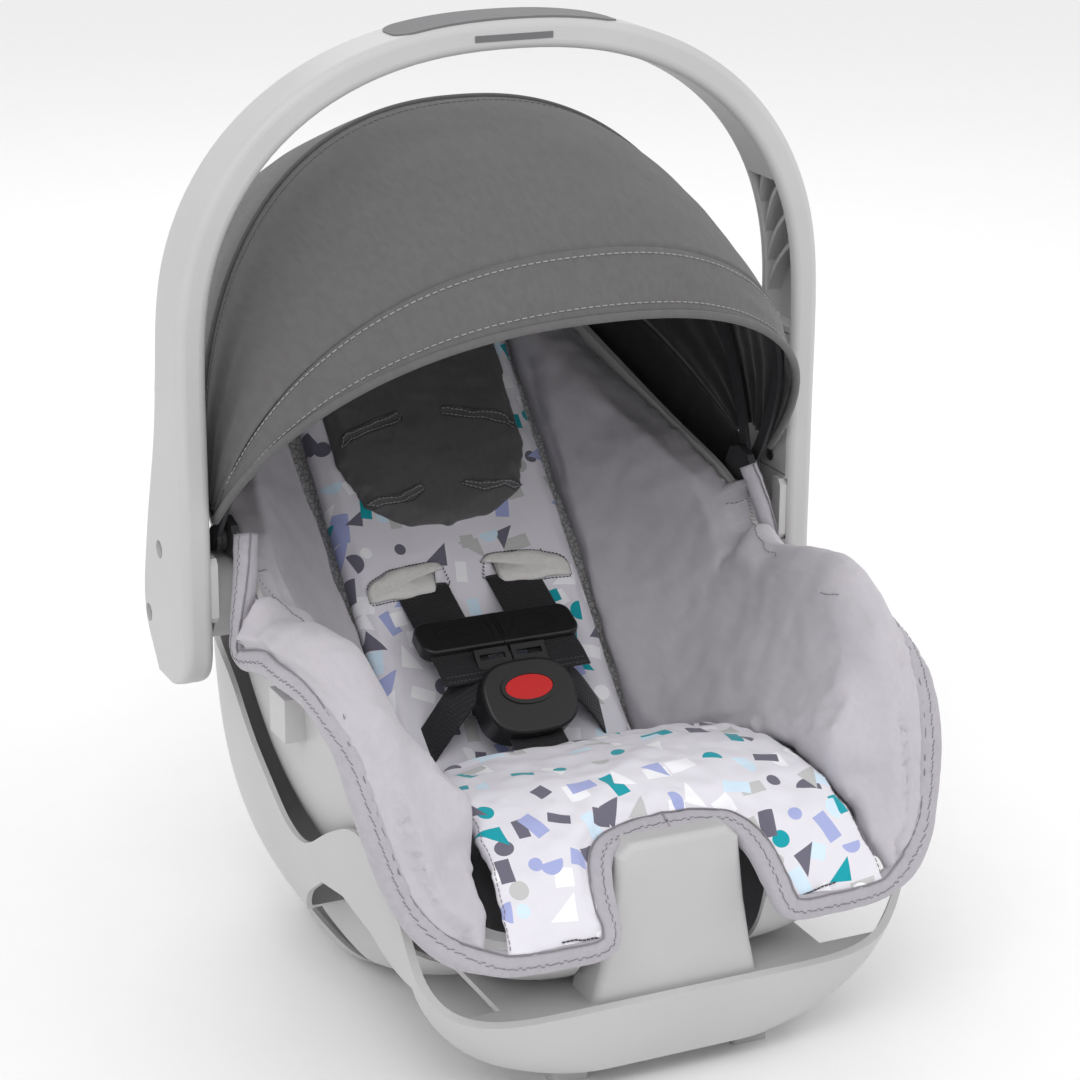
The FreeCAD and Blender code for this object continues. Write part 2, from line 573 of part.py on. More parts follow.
def back_strip(centres, thickness, half_width, across):
    """A flat strip across the seat whose line in the side view is given up and out of the back."""
    upper, lower = [], []
    count = len(centres)
    for number, (up, out) in enumerate(centres):
        before, after = centres[max(number - 1, 0)], centres[min(number + 1, count - 1)]
        run = math.hypot(after[0] - before[0], after[1] - before[1])
        normal = (-(after[1] - before[1]) / run, (after[0] - before[0]) / run)
        upper.append((up + normal[0] * thickness / 2, out + normal[1] * thickness / 2))
        lower.append((up - normal[0] * thickness / 2, out - normal[1] * thickness / 2))
    outline = [on_back(across - half_width, *point) for point in upper + lower[::-1]]
    face = Part.Face(Part.makePolygon(outline + outline[:1]))
    return face.extrude(Vector(2 * half_width, 0, 0))


for side, sign in (("left", -1), ("right", 1)):
    strap_line = [STRAP_LOW, STRAP_HIGH, STRAP_BACK, STRAP_TAIL]
    strap = back_strip(strap_line, strap_t, webbing / 2, sign * STRAP_OFFSET)
    solid_feature(f"shoulder_strap_{side}", strap)

yoke = back_slab(STRAP_OFFSET + webbing / 2 + 4, 100, 117, -41.5, -38.5)
solid_feature("harness_yoke", yoke)

# chest clip: two halves round the straps
strap_run = (STRAP_LOW[0] - STRAP_HIGH[0], STRAP_LOW[1] - STRAP_HIGH[1])
run_length = math.hypot(*strap_run)
strap_down = (UP_BACK * strap_run[0] + OUT_OF_BACK * strap_run[1]) * (1 / run_length)
strap_out = strap_down.cross(Vector(-1, 0, 0))
if strap_out.dot(OUT_OF_BACK) < 0:
    strap_out = strap_out * -1
CLIP_SHARE = 0.66
clip_centre = on_back(0, *(a + (b - a) * CLIP_SHARE for a, b in zip(STRAP_HIGH, STRAP_LOW)))
clip_length, clip_depth, clip_thick = size("clip_length"), size("clip_depth"), size("clip_thickness")
web_gap = size("webbing_gap")
CLIP_SEAM, CLIP_LIP = 0.4, 3.0
CLIP_CORNER, CLIP_EDGE = 9.0, 2.0
RIDGE_AT, RIDGE_LONG, RIDGE_SHORT, RIDGE_WIDTH, RIDGE_RISE = 27.0, 16.0, 6.5, 1.4, 0.7


def on_strap(shape):
    """Carry a shape drawn about the origin (X across, Y down the strap, Z out of it) to the clip."""
    frame = FreeCAD.Matrix(1, strap_down.x, strap_out.x, clip_centre.x, 0, strap_down.y, strap_out.y,
                           clip_centre.y, 0, strap_down.z, strap_out.z, clip_centre.z, 0, 0, 0, 1)
    return shape.transformGeometry(frame)


slot_half = webbing / 2 + web_gap
slot_height = strap_t / 2 + web_gap
half = block((CLIP_SEAM / 2, -clip_depth / 2, -clip_thick / 3),
             (clip_length / 2, clip_depth / 2, clip_thick * 2 / 3))
outer_corners = [edge for edge in half.Edges if along(Vector(0, 0, 1))(edge) and edge.BoundBox.XMin > 1]
half = half.makeFillet(CLIP_CORNER, outer_corners)
clip_top = clip_thick * 2 / 3
top_edges = [edge for edge in half.Edges if edge.BoundBox.ZMin > clip_top - 0.01 and edge.BoundBox.XMax > 1]
half = half.makeFillet(CLIP_EDGE, top_edges)


def clip_oval(inset):
    """An oval plug standing through the clip's top face."""
    outline = Part.Ellipse(Vector(RIDGE_AT, 0, clip_top - 1), RIDGE_LONG - inset, RIDGE_SHORT - inset)
    return Part.Face(Part.Wire(outline.toShape())).extrude(Vector(0, 0, 1 + RIDGE_RISE))


seam_rib = block((CLIP_SEAM / 2 + 2, -clip_depth / 2 + 4, clip_top - 1),
                 (CLIP_SEAM / 2 + 5, clip_depth / 2 - 4, clip_top + RIDGE_RISE))
half = half.fuse([clip_oval(0).cut(clip_oval(RIDGE_WIDTH)), seam_rib]).removeSplitter()
half = half.cut(block((STRAP_OFFSET - slot_half, -FAR, -slot_height),
                      (STRAP_OFFSET + slot_half, FAR, slot_height)))
tang = block((-CLIP_LIP * 4, -5, 1.5), (CLIP_SEAM / 2 + 1, 5, 4.0))
socket = block((-CLIP_LIP * 4 - 0.5, -5.3, 1.2), (1, 5.3, 4.3))
clip_right = half.fuse(tang)
clip_left = mirrored(half).cut(socket)
solid_feature("chest_clip_left", on_strap(clip_left))
solid_feature("chest_clip_right", on_strap(clip_right))

# buckle, tongues, button, crotch strap and lap straps
buckle_w, buckle_l, buckle_t = size("buckle_width"), size("buckle_length"), size("buckle_thickness")
BUCKLE_LOW, BUCKLE_OUT = 14.0, 27.0
SHELL_T, BUCKLE_POWER, BUCKLE_STEPS = 2.5, 2.8, 20
RIM_WIDTH, RIM_RISE, BUTTON_SIDE = 3.0, 1.2, 0.3


def buckle_slab(inset, low, high):
    """The buckle's rounded outline between two heights out of the back."""
    half_w, half_l = buckle_w / 2 - inset, buckle_l / 2 - inset
    points = []
    for step in range(BUCKLE_STEPS):
        turn = 2 * math.pi * step / BUCKLE_STEPS
        across = math.copysign(abs(math.cos(turn)) ** (2 / BUCKLE_POWER), math.cos(turn))
        up = math.copysign(abs(math.sin(turn)) ** (2 / BUCKLE_POWER), math.sin(turn))
        points.append(Vector(half_w * across, BUCKLE_LOW + buckle_l / 2 + half_l * up, low))
    curve = Part.BSplineCurve()
    curve.interpolate(points, PeriodicFlag=True)
    return Part.Face(Part.Wire(curve.toShape())).extrude(Vector(0, 0, high - low))


split = BUCKLE_OUT + buckle_t * 0.45
back_half = buckle_slab(0, BUCKLE_OUT, split)
back_half = back_half.cut(buckle_slab(SHELL_T, BUCKLE_OUT + SHELL_T, split + 1))
front_half = buckle_slab(0, split, BUCKLE_OUT + buckle_t)
front_edges = [edge for edge in front_half.Edges if abs(edge.BoundBox.ZMin - BUCKLE_OUT - buckle_t) < 1e-6
               and edge.BoundBox.ZLength < 1e-6]
front_half = front_half.makeFillet(2.5, front_edges)
front_half = front_half.cut(buckle_slab(SHELL_T, split - 1, BUCKLE_OUT + buckle_t - SHELL_T))
button_l, button_w = size("button_length"), size("button_width")
button_up = BUCKLE_LOW + buckle_l * 0.6
travel = size("button_travel")


def oval(length, width, low, high):
    """An oval plug lying across the buckle between two heights."""
    outline = Part.Ellipse(Vector(0, button_up, low), length / 2, width / 2)
    return Part.Face(Part.Wire(outline.toShape())).extrude(Vector(0, 0, high - low))


cover_top = BUCKLE_OUT + buckle_t
button_rim = oval(button_l + 2 * RIM_WIDTH, button_w + 2 * RIM_WIDTH, cover_top - 1, cover_top + RIM_RISE)
front_half = front_half.fuse(button_rim)
button_mouth = oval(button_l + 2 * BUTTON_SIDE, button_w + 2 * BUTTON_SIDE, split, cover_top + 2)
front_half = front_half.cut(button_mouth)
button = oval(button_l, button_w, split + travel + 1.0, cover_top + 0.8)
spring_ring = Part.makeCylinder(4, travel + 0.8, Vector(0, button_up, split + 0.1)).cut(
    Part.makeCylinder(3, travel + 2, Vector(0, button_up, split - 0.5)))
tongue_slot = block((-buckle_w * 0.36, BUCKLE_LOW + buckle_l - 8, split - 2.2),
                    (buckle_w * 0.36, FAR, split + 2.2))
back_half, front_half = back_half.cut(tongue_slot), front_half.cut(tongue_slot)
tongue_high = BUCKLE_LOW + buckle_l + 14
for side, sign in (("left", -1), ("right", 1)):
    x_in, x_out = sorted((sign * 1.0, sign * (webbing / 2 + 6)))
    head = block((x_in, tongue_high - 13.5, split - 1.2), (x_out, tongue_high, split + 1.2))
    blade_in, blade_out = sorted((sign * 1.0, sign * buckle_w * 0.34))
    blade = block((blade_in, BUCKLE_LOW + buckle_l - 6, split - 1.2),
                  (blade_out, tongue_high - 13, split + 1.2))
    loop_in, loop_out = sorted((sign * 4.0, sign * (webbing / 2 + 3)))
    loop = block((loop_in, tongue_high - 8, split - 2), (loop_out, tongue_high - 4, split + 2))
    tongue = head.fuse(blade).cut(loop).removeSplitter()
    tongue.Placement = Placement(BIGHT, BACK_TURN)
    solid_feature(f"tongue_{side}", tongue)
for label, shape in (("buckle_base", back_half), ("buckle_cover", front_half), ("buckle_button", button),
                     ("buckle_spring", spring_ring)):
    shape.Placement = Placement(BIGHT, BACK_TURN)
    solid_feature(label, shape)


def bridge(low_centre, high_centre, along_low, along_high, width, thickness):
    """A flat strap stretched between two places; along_* point across its width there."""
    wires = []
    direction = (high_centre - low_centre).normalize()
    for centre, way in ((low_centre, along_low), (high_centre, along_high)):
        side_way = way * (width / 2)
        up_way = (direction.cross(way)).normalize() * (thickness / 2)
        corners = [centre + side_way + up_way, centre + side_way - up_way, centre - side_way - up_way,
                   centre - side_way + up_way]
        wires.append(Part.makePolygon(corners + corners[:1]))
    return Part.makeLoft(wires, True, True)


for side, sign in (("left", -1), ("right", 1)):
    low = on_back(sign * 66, 26, 1.6)
    high = on_back(sign * 29.5, 62, 36.0)
    lap = bridge(low, high, Vector(0, 0.6, 0.8).normalize(), UP_BACK, webbing * 0.55, strap_t)
    beside = (f"tongue_{side}", f"shoulder_strap_{side}", "buckle_base", "buckle_cover", f"wing_{side}",
              "back_pad")
    lap = lap.cut(Part.makeCompound([item.Shape for item in NODES if item.Label in beside]))
    solid_feature(f"lap_strap_{side}", max(lap.Solids, key=lambda part: part.Volume))
crotch_low = Vector(0, -72, 128)
crotch = bridge(crotch_low, on_back(0, BUCKLE_LOW - 0.3, BUCKLE_OUT + buckle_t * 0.4), Vector(1, 0, 0),
                Vector(1, 0, 0), webbing * 0.9, strap_t)
solid_feature("crotch_strap", crotch.cut(next(item.Shape for item in NODES if item.Label == "seat_cushion")))

# ---------------------------------------------------------------- canopy
canopy_pivot = Vector(0, size("canopy_pivot_depth"), size("canopy_pivot_height"))
canopy_half = size("canopy_half_width")
bow_t, bow_w = size("bow_thickness"), size("bow_width")
fabric = size("fabric_thickness")
MID_ANGLE, FRONT_ANGLE, BRIM_ANGLE, REAR_ANGLE = 76.5, 123.0, 134.0, 26.0
BOW_POWER = 2.3
BOW_STEPS = 6
EYE_RADIUS, STUD_RADIUS = 8.0, 3.0
BOW_START = 0.004
LAYER = 0.4


def bow_point(half, rise, angle, share):
    """A point of an arch over the canopy's pivot line, leaning at angle from the head end."""
    turn = math.pi * share
    reach = math.copysign(abs(math.cos(turn)) ** (2 / BOW_POWER), math.cos(turn))
    height = rise * math.sin(turn) ** (2 / BOW_POWER)
    lean = math.radians(angle)
    return canopy_pivot + Vector(half * reach, height * math.cos(lean), height * math.sin(lean))


def arch_edge(half, rise, angle, start, end):
    """The arch's curve between two shares of its half turn."""
    points = [bow_point(half, rise, angle, start + (end - start) * step / (2 * BOW_STEPS))
              for step in range(2 * BOW_STEPS + 1)]
    curve = Part.BSplineCurve()
    curve.interpolate(points)
    return curve.toShape()


def arch_band(half, rise, angle, start, thickness):
    """A closed wire: an arch and the same arch drawn in by thickness."""
    outer = arch_edge(half, rise, angle, start, 1 - start)
    inner = arch_edge(half - thickness, rise - thickness, angle, start, 1 - start)
    joins = [Part.makeLine(outer.lastVertex().Point, inner.lastVertex().Point),
             Part.makeLine(inner.firstVertex().Point, outer.firstVertex().Point)]
    return Part.Wire([outer, joins[0], inner, joins[1]])


def bow_strip(half, rise, angle, thickness, width):
    """A flat strip bent to an arch."""
    lean = math.radians(angle)
    normal = Vector(0, -math.sin(lean), math.cos(lean))
    strip = Part.Face(arch_band(half, rise, angle, BOW_START, thickness)).extrude(normal * width)
    strip.translate(normal * (-width / 2))
    return strip


def canopy_bow(half, rise, angle):
    """A flat strip bow with an eye at each end."""
    strip = bow_strip(half, rise, angle, bow_t, bow_w)
    eyes = []
    for sign in (-1, 1):
        start = sign * half - (bow_t if sign > 0 else 0)
        eyes.append(Part.makeCylinder(EYE_RADIUS, bow_t, Vector(start, canopy_pivot.y, canopy_pivot.z),
                                      Vector(1, 0, 0)))
    bore_start = Vector(-FAR, canopy_pivot.y, canopy_pivot.z)
    bore = Part.makeCylinder(STUD_RADIUS + size("running_gap"), 2 * FAR, bore_start, Vector(1, 0, 0))
    return strip.fuse(eyes).cut(bore).removeSplitter()


REAR_RISE, MID_RISE, FRONT_RISE, BRIM_RISE = 318.0, 258.0, 229.0, 222.0
mid_half = canopy_half - 2 * (fabric + LAYER) - bow_t - LAYER
front_half_width = canopy_half - 2 * (fabric + LAYER)
solid_feature("canopy_mid_bow", canopy_bow(mid_half - 0.3, MID_RISE - 5, MID_ANGLE))
solid_feature("canopy_front_bow", canopy_bow(front_half_width - 0.3, FRONT_RISE - 5, FRONT_ANGLE))


def fabric_panel(half, stations, start):
    """A fabric panel through arches given as angle and rise."""
    bands = [arch_band(half, rise, angle, start, fabric) for angle, rise in stations]
    return Part.makeLoft(bands, True, False)


FABRIC_START = 0.055
REAR_STATIONS = [(REAR_ANGLE, REAR_RISE), (42, 294), (60, 271), (MID_ANGLE, MID_RISE)]
FRONT_STATIONS = [(MID_ANGLE, MID_RISE - 2.2), (93, 243), (108, 234), (FRONT_ANGLE, FRONT_RISE)]
BRIM_STATIONS = [(FRONT_ANGLE + 2, FRONT_RISE - 4), (128, 224), (BRIM_ANGLE, BRIM_RISE)]
solid_feature("canopy_rear_panel", fabric_panel(canopy_half, REAR_STATIONS, FABRIC_START))
solid_feature("canopy_front_panel", fabric_panel(canopy_half - fabric - LAYER, FRONT_STATIONS, FABRIC_START))
brim_panel = fabric_panel(front_half_width, BRIM_STATIONS, FABRIC_START)
bow_room = bow_strip(front_half_width + LAYER, FRONT_RISE - 5 + LAYER, FRONT_ANGLE, bow_t + 4 * LAYER,
                     bow_w + LAYER)
brim_panel = brim_panel.cut(bow_room)
solid_feature("canopy_brim", max(brim_panel.Solids, key=lambda part: part.Volume))

STUD_START, MOUNT_THICK = 179.5, 5.0
MOUNT_OUTLINE = [(-8, 275), (22, 275), (28, 284), (22, 296), (10, 299), (-2, 296), (-8, 288)]
for side, sign in (("left", -1), ("right", 1)):
    points = [Vector(sign * (shell_half + 1.5), y, z) for y, z in MOUNT_OUTLINE]
    plate_solid = Part.Face(Part.makePolygon(points + points[:1])).extrude(Vector(sign * MOUNT_THICK, 0, 0))
    stud = Part.makeCylinder(STUD_RADIUS, front_half_width - shell_half - 1.5, Vector(
        sign * (shell_half + 1.5), canopy_pivot.y, canopy_pivot.z), Vector(sign, 0, 0))
    solid_feature(f"canopy_mount_{side}", plate_solid.fuse(stud).removeSplitter())

# ---------------------------------------------------------------- carrier release at the back
bar_r = size("bar_radius")
BAR_Y, BAR_Z, BAR_HALF = 128.0, 172.0, 62.0
PIN_Y, PIN_Z, LEVER_PIN_RADIUS = 168.0, 226.0, 3.0
latch_bar = Part.makeCylinder(bar_r, 2 * BAR_HALF, Vector(-BAR_HALF, BAR_Y, BAR_Z), Vector(1, 0, 0))
legs = []
for sign in (-1, 1):
    x_low = sign * BAR_HALF - (6 if sign > 0 else 0)
    legs.append(block((x_low, BAR_Y - 6, BAR_Z - 9), (x_low + 6, FAR / 4, BAR_Z + 9)))
legs = Part.makeCompound(legs).common(inner_skirt).cut(latch_bar)
solid_feature("latch_bar", latch_bar)
solid_feature("latch_bar_posts", legs)
lever_w = size("lever_width")
LEVER_PROFILE = [(164, 218), (176, 221), (182, 232), (196, 250), (214, 268), (210, 272), (190, 256),
                 (172, 238), (161, 230)]
lever = side_prism(LEVER_PROFILE, lever_w / 2)
lever_bore = Part.makeCylinder(LEVER_PIN_RADIUS + size("running_gap"), 2 * lever_w,
                               Vector(-lever_w, PIN_Y, PIN_Z), Vector(1, 0, 0))
lever = lever.cut(lever_bore)
solid_feature("release_lever", lever)
HOOK_PROFILE = [(165, 219), (154, 196), (144, 176), (139, 160), (133.5, 160), (134, 168), (139, 178),
                (148, 198), (158, 222)]
hooks = []
for sign in (-1, 1):
    hook = side_prism(HOOK_PROFILE, 4.0)
    hook.translate(Vector(sign * (lever_w / 2 - 12), 0, 0))
    hooks.append(hook)
solid_feature("latch_hooks", Part.makeCompound(hooks).cut(lever).cut(lever_bore))
lever_pin = Part.makeCylinder(LEVER_PIN_RADIUS, lever_w + 16, Vector(-lever_w / 2 - 8, PIN_Y, PIN_Z),
                              Vector(1, 0, 0))
solid_feature("lever_pin", lever_pin)
ears = []
for sign in (-1, 1):
    ear = side_prism([(100, 212), (170, 217), (176, 226), (170, 235), (120, 240)], 3.0)
    ear.translate(Vector(sign * (lever_w / 2 + 4.5), 0, 0))
    ears.append(ear)
ears = Part.makeCompound(ears).cut(shell_outer).cut(lever_pin)
solid_feature("lever_ears", Part.makeCompound([part for part in ears.Solids if part.BoundBox.YMax > 160]))

# ---------------------------------------------------------------- small fasteners and clips
clips = []
for sign in (-1, 1):
    x_low, x_high = sorted((sign * (shell_half - 8), sign * (shell_half + 8)))
    clip = block((x_low, -96, 186), (x_high, -70, 214)).cut(
        block((x_low + 3, -92, 180), (x_high - 3, -74, 206))).cut(shell_outer)
    clips.append(max(clip.Solids, key=lambda part: part.Volume))
solid_feature("pad_clips", Part.makeCompound(clips))
pan_screws = []
for x, y in ((-88, -30), (88, -30), (-74, 58), (74, 58)):
    pan_screws.append(Part.makeCylinder(screw_r, 10, Vector(x, y, base_wall), Vector(0, 0, 1)))
solid_feature("pan_screws", Part.makeCompound(pan_screws))

document.recompute()
os.makedirs("parts", exist_ok=True)
for item in NODES:
    if any(flag in item.State for flag in ("Invalid", "Error")):
        raise RuntimeError(f"{item.Label} failed to recompute: {item.State}")
    if item.Shape.isNull() or not item.Shape.isValid():
        raise RuntimeError(f"{item.Label} has no valid shape")
    item.Shape.exportStep(f"parts/{item.Label}.step")
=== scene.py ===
"""The looks of an infant car seat: a base, a carrier, a carrying handle and a folding canopy.

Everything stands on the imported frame, in metres: X across the seat, Y from the foot end to the
head end, Z up from the floor.
"""

import json
import logging
import math
from dataclasses import dataclass, field
from enum import Enum

import bmesh
import bpy
import numpy as np
from mathutils import Matrix, Vector, noise
from mathutils.bvhtree import BVHTree


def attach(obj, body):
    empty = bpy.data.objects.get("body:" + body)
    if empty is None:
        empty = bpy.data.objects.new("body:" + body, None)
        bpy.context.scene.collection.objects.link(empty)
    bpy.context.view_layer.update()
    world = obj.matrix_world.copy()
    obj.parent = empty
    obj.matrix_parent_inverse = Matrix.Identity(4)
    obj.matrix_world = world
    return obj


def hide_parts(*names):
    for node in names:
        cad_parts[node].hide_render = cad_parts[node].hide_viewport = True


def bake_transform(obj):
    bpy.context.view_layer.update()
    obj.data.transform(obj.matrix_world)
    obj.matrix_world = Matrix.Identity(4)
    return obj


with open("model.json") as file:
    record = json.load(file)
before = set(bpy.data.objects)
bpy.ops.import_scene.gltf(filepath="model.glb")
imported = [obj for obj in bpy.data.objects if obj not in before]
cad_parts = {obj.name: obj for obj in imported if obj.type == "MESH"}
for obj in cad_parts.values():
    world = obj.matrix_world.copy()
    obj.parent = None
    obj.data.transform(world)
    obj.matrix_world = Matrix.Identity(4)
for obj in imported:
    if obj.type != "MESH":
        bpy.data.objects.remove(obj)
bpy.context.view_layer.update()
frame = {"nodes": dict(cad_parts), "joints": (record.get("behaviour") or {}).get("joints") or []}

LOG = logging.getLogger("infant_car_seat")
Array = np.ndarray
Colour = tuple[float, float, float, float]


# ---------------------------------------------------------------- shader writing
class Sock:
    """A shader socket that can be used in sums."""

    def __init__(self, paint: "Paint", socket: bpy.types.NodeSocket) -> None:
        """Keep the socket and the paint whose tree it belongs to."""
        self.paint, self.socket = paint, socket

    def math(self, operation: str, *others: "float | Sock") -> "Sock":
        """Add one Math node with this socket as its first number.

        Args:
            operation: the Math node's operation.
            others: its second and third numbers.

        Returns:
            The node's output.
        """
        inputs = {0: self, **{place + 1: other for place, other in enumerate(others)}}
        return self.paint.node("ShaderNodeMath", {"operation": operation}, inputs)

    def __add__(self, other: "float | Sock") -> "Sock":
        """Sum."""
        return self.math("ADD", other)

    def __radd__(self, other: float) -> "Sock":
        """Sum, reflected."""
        return self.math("ADD", other)

    def __sub__(self, other: "float | Sock") -> "Sock":
        """Difference."""
        return self.math("SUBTRACT", other)

    def __rsub__(self, other: float) -> "Sock":
        """Difference, reflected."""
        return self.paint.node("ShaderNodeMath", {"operation": "SUBTRACT"}, {0: other, 1: self})

    def __mul__(self, other: "float | Sock") -> "Sock":
        """Product."""
        return self.math("MULTIPLY", other)

    def __rmul__(self, other: float) -> "Sock":
        """Product, reflected."""
        return self.math("MULTIPLY", other)

    def __truediv__(self, other: "float | Sock") -> "Sock":
        """Quotient."""
        return self.math("DIVIDE", other)

    def __gt__(self, other: "float | Sock") -> "Sock":
        """1 where this is above the other."""
        return self.math("GREATER_THAN", other)

    def __lt__(self, other: "float | Sock") -> "Sock":
        """1 where this is below the other."""
        return self.math("LESS_THAN", other)

    def ramp(self, low: float, high: float) -> "Sock":
        """A smooth rise from 0 at low to 1 at high."""
        return self.paint.node("ShaderNodeMapRange", {"interpolation_type": "SMOOTHSTEP"},
                               {"Value": self, "From Min": low, "From Max": high})


class Paint:
    """A material being written, node by node."""

    def __init__(self, name: str) -> None:
        """Start an empty node material."""
        self.material = bpy.data.materials.new(name)
        self.material.use_nodes = True
        self.tree = self.material.node_tree
        self.tree.nodes.clear()

    def node(self, kind: str, settings: dict | None = None, inputs: dict | None = None,
             output: int | str = 0) -> Sock:
        """Add a node.

        Args:
            kind: the node's type.
            settings: its properties; "stops" gives a colour ramp's places and colours.
            inputs: its sockets' values or links, by name or number.
            output: which output to hand back.

        Returns:
            The chosen output.
        """
        made = self.tree.nodes.new(kind)
        for key, value in (settings or {}).items():
            if key == "stops":
                elements = made.color_ramp.elements
                while len(elements) < len(value):
                    elements.new(1.0)
                for element, (place, colour) in zip(elements, value):
                    element.position, element.color = place, colour
            elif key == "interpolation":
                made.color_ramp.interpolation = value
            else:
                setattr(made, key, value)
        for key, value in (inputs or {}).items():
            if isinstance(value, Sock):
                self.tree.links.new(value.socket, made.inputs[key])
            else:
                made.inputs[key].default_value = value
        return Sock(self, made.outputs[output])

    def place(self) -> Sock:
        """The piece's Object coordinates."""
        return self.node("ShaderNodeTexCoord", output="Object")

    def lay(self, attribute: str = "lay") -> Sock:
        """Where a point lies on its cloth, from an attribute of the piece."""
        return self.node("ShaderNodeAttribute", {"attribute_name": attribute}, output="Vector")

    def split(self, vector: Sock) -> tuple[Sock, Sock, Sock]:
        """The three numbers of a vector."""
        first = self.node("ShaderNodeSeparateXYZ", inputs={0: vector})
        outputs = first.socket.node.outputs
        return tuple(Sock(self, socket) for socket in outputs)

    def join(self, x: "float | Sock", y: "float | Sock", z: "float | Sock" = 0.0) -> Sock:
        """A vector from three numbers."""
        return self.node("ShaderNodeCombineXYZ", inputs={0: x, 1: y, 2: z})

    def noise(self, where: Sock, scale: float, detail: float = 2.0, roughness: float = 0.5) -> Sock:
        """Soft noise from 0 to 1."""
        return self.node("ShaderNodeTexNoise", inputs={"Vector": where, "Scale": scale, "Detail": detail,
                                                       "Roughness": roughness})

    def blend(self, share: "float | Sock", first: "Colour | Sock", second: "Colour | Sock") -> Sock:
        """A colour between two, by share."""
        return self.node("ShaderNodeMix", {"data_type": "RGBA"}, {0: share, 6: first, 7: second}, 2)

    def bump(self, height: Sock, distance: float, strength: float = 1.0,
             below: Sock | None = None) -> Sock:
        """A bumped normal, on top of another if one is given."""
        inputs: dict = {"Strength": strength, "Distance": distance, "Height": height}
        if below is not None:
            inputs["Normal"] = below
        return self.node("ShaderNodeBump", inputs=inputs)

    def surface(self, colour: "Colour | Sock", roughness: "float | Sock", normal: Sock | None = None,
                **constants: float) -> Sock:
        """A Principled surface; constants are set straight on its sockets."""
        inputs: dict = {"Base Color": colour, "Roughness": roughness}
        if normal is not None:
            inputs["Normal"] = normal
        inputs.update({key.replace("_", " "): value for key, value in constants.items()})
        return self.node("ShaderNodeBsdfPrincipled", inputs=inputs)

    def finish(self, shader: Sock) -> bpy.types.Material:
        """Send the shader to the output and hand back the material."""
        self.node_output(shader)
        return self.material

    def node_output(self, shader: Sock) -> None:
        """Link the shader to a Material Output."""
        made = self.tree.nodes.new("ShaderNodeOutputMaterial")
        self.tree.links.new(shader.socket, made.inputs["Surface"])


def tone(red: float, green: float, blue: float) -> Colour:
    """A display colour as the linear colour that shaders take."""
    def linear(value: float) -> float:
        """One channel, from display to linear."""
        return value / 12.92 if value <= 0.04045 else ((value + 0.055) / 1.055) ** 2.4
    return (linear(red), linear(green), linear(blue), 1.0)


# ---------------------------------------------------------------- finishes
@dataclass(frozen=True)
class Moulding:
    """A moulded plastic with a fine spark grain and a little unevenness in its gloss."""

    name: str
    colour: Colour
    shade: Colour
    gloss: float = 0.42
    grain: float = 0.00006
    grain_scale: float = 900.0

    def make(self) -> bpy.types.Material:
        """Write the material."""
        paint = Paint(self.name)
        place = paint.place()
        drift = paint.noise(place, 9.0, 4.0)
        grain = paint.noise(place, self.grain_scale, 3.0, 0.6)
        scuff = paint.noise(place, 160.0, 4.0, 0.7).ramp(0.62, 0.8)
        colour = paint.blend(drift.ramp(0.3, 0.75), self.colour, self.shade)
        roughness = self.gloss + 0.10 * grain + 0.08 * scuff - 0.04 * drift
        normal = paint.bump(grain, self.grain)
        normal = paint.bump(paint.noise(place, 14.0, 2.0), 0.0006, 0.5, normal)
        return paint.finish(paint.surface(colour, roughness, normal, Specular_IOR_Level=0.45))


@dataclass(frozen=True)
class Steel:
    """Drawn steel with faint lengthwise scratches."""

    name: str = "steel"
    colour: Colour = tone(0.70, 0.71, 0.72)

    def make(self) -> bpy.types.Material:
        """Write the material."""
        paint = Paint(self.name)
        place = paint.place()
        x, y, z = paint.split(place)
        drawn = paint.noise(paint.join(x * 40, y * 900, z * 900), 1.0, 3.0)
        colour = paint.blend(drawn, self.colour, tone(0.55, 0.55, 0.57))
        return paint.finish(paint.surface(colour, 0.26 + 0.2 * drawn, paint.bump(drawn, 0.00005), Metallic=1.0))


@dataclass(frozen=True)
class Cloth:
    """Woven polyester: crossed yarns, slight slubs, soft rumples and sheen."""

    name: str
    colour: Colour
    shade: Colour
    yarn: float = 0.0009
    rumple: float = 0.0022
    rumple_scale: float = 16.0
    sheen: float = 0.25
    roughness: float = 0.8

    def yarns(self, paint: Paint, place: Sock) -> tuple[Sock, Sock]:
        """The weave's height, and the slubs that shift its colour.

        Args:
            paint: the material being written.
            place: where the weave lies.

        Returns:
            Height and slub, both from 0 to 1.
        """
        x, y, z = paint.split(place)
        turn = 2 * math.pi / self.yarn
        warp = ((x + 0.31 * z) * turn).math("SINE")
        weft = ((y + 0.83 * z) * turn).math("SINE")
        slub = paint.noise(paint.join(x * 260, y * 60, z * 200), 1.0, 3.0, 0.6)
        return warp * weft * 0.25 + 0.5 + slub * 0.5, slub

    def make(self) -> bpy.types.Material:
        """Write the material."""
        paint = Paint(self.name)
        place = paint.place()
        height, slub = self.yarns(paint, place)
        drift = paint.noise(place, 7.0, 3.0)
        colour = paint.blend(slub.ramp(0.25, 0.8) * 0.6 + drift * 0.4, self.colour, self.shade)
        folds = paint.noise(place, self.rumple_scale, 3.0, 0.45)
        normal = paint.bump(folds, self.rumple * 3)
        normal = paint.bump(height, 0.00022, 0.8, normal)
        return paint.finish(paint.surface(colour, self.roughness + 0.1 * slub, normal, Sheen_Weight=self.sheen,
                                          Sheen_Roughness=0.45, Specular_IOR_Level=0.25))


class Figure(Enum):
    """The figures strewn over the printed cloth, with the share of the draw where each ends."""

    OBLONG = 0.30
    SQUARE = 0.46
    TRIANGLE = 0.70
    DISC = 0.84
    HALF_DISC = 1.0


@dataclass(frozen=True)
class Scatter:
    """One layer of figures on the printed cloth: its pitch, its share of filled cells and its draw."""

    pitch: float
    filled: float
    seed: float


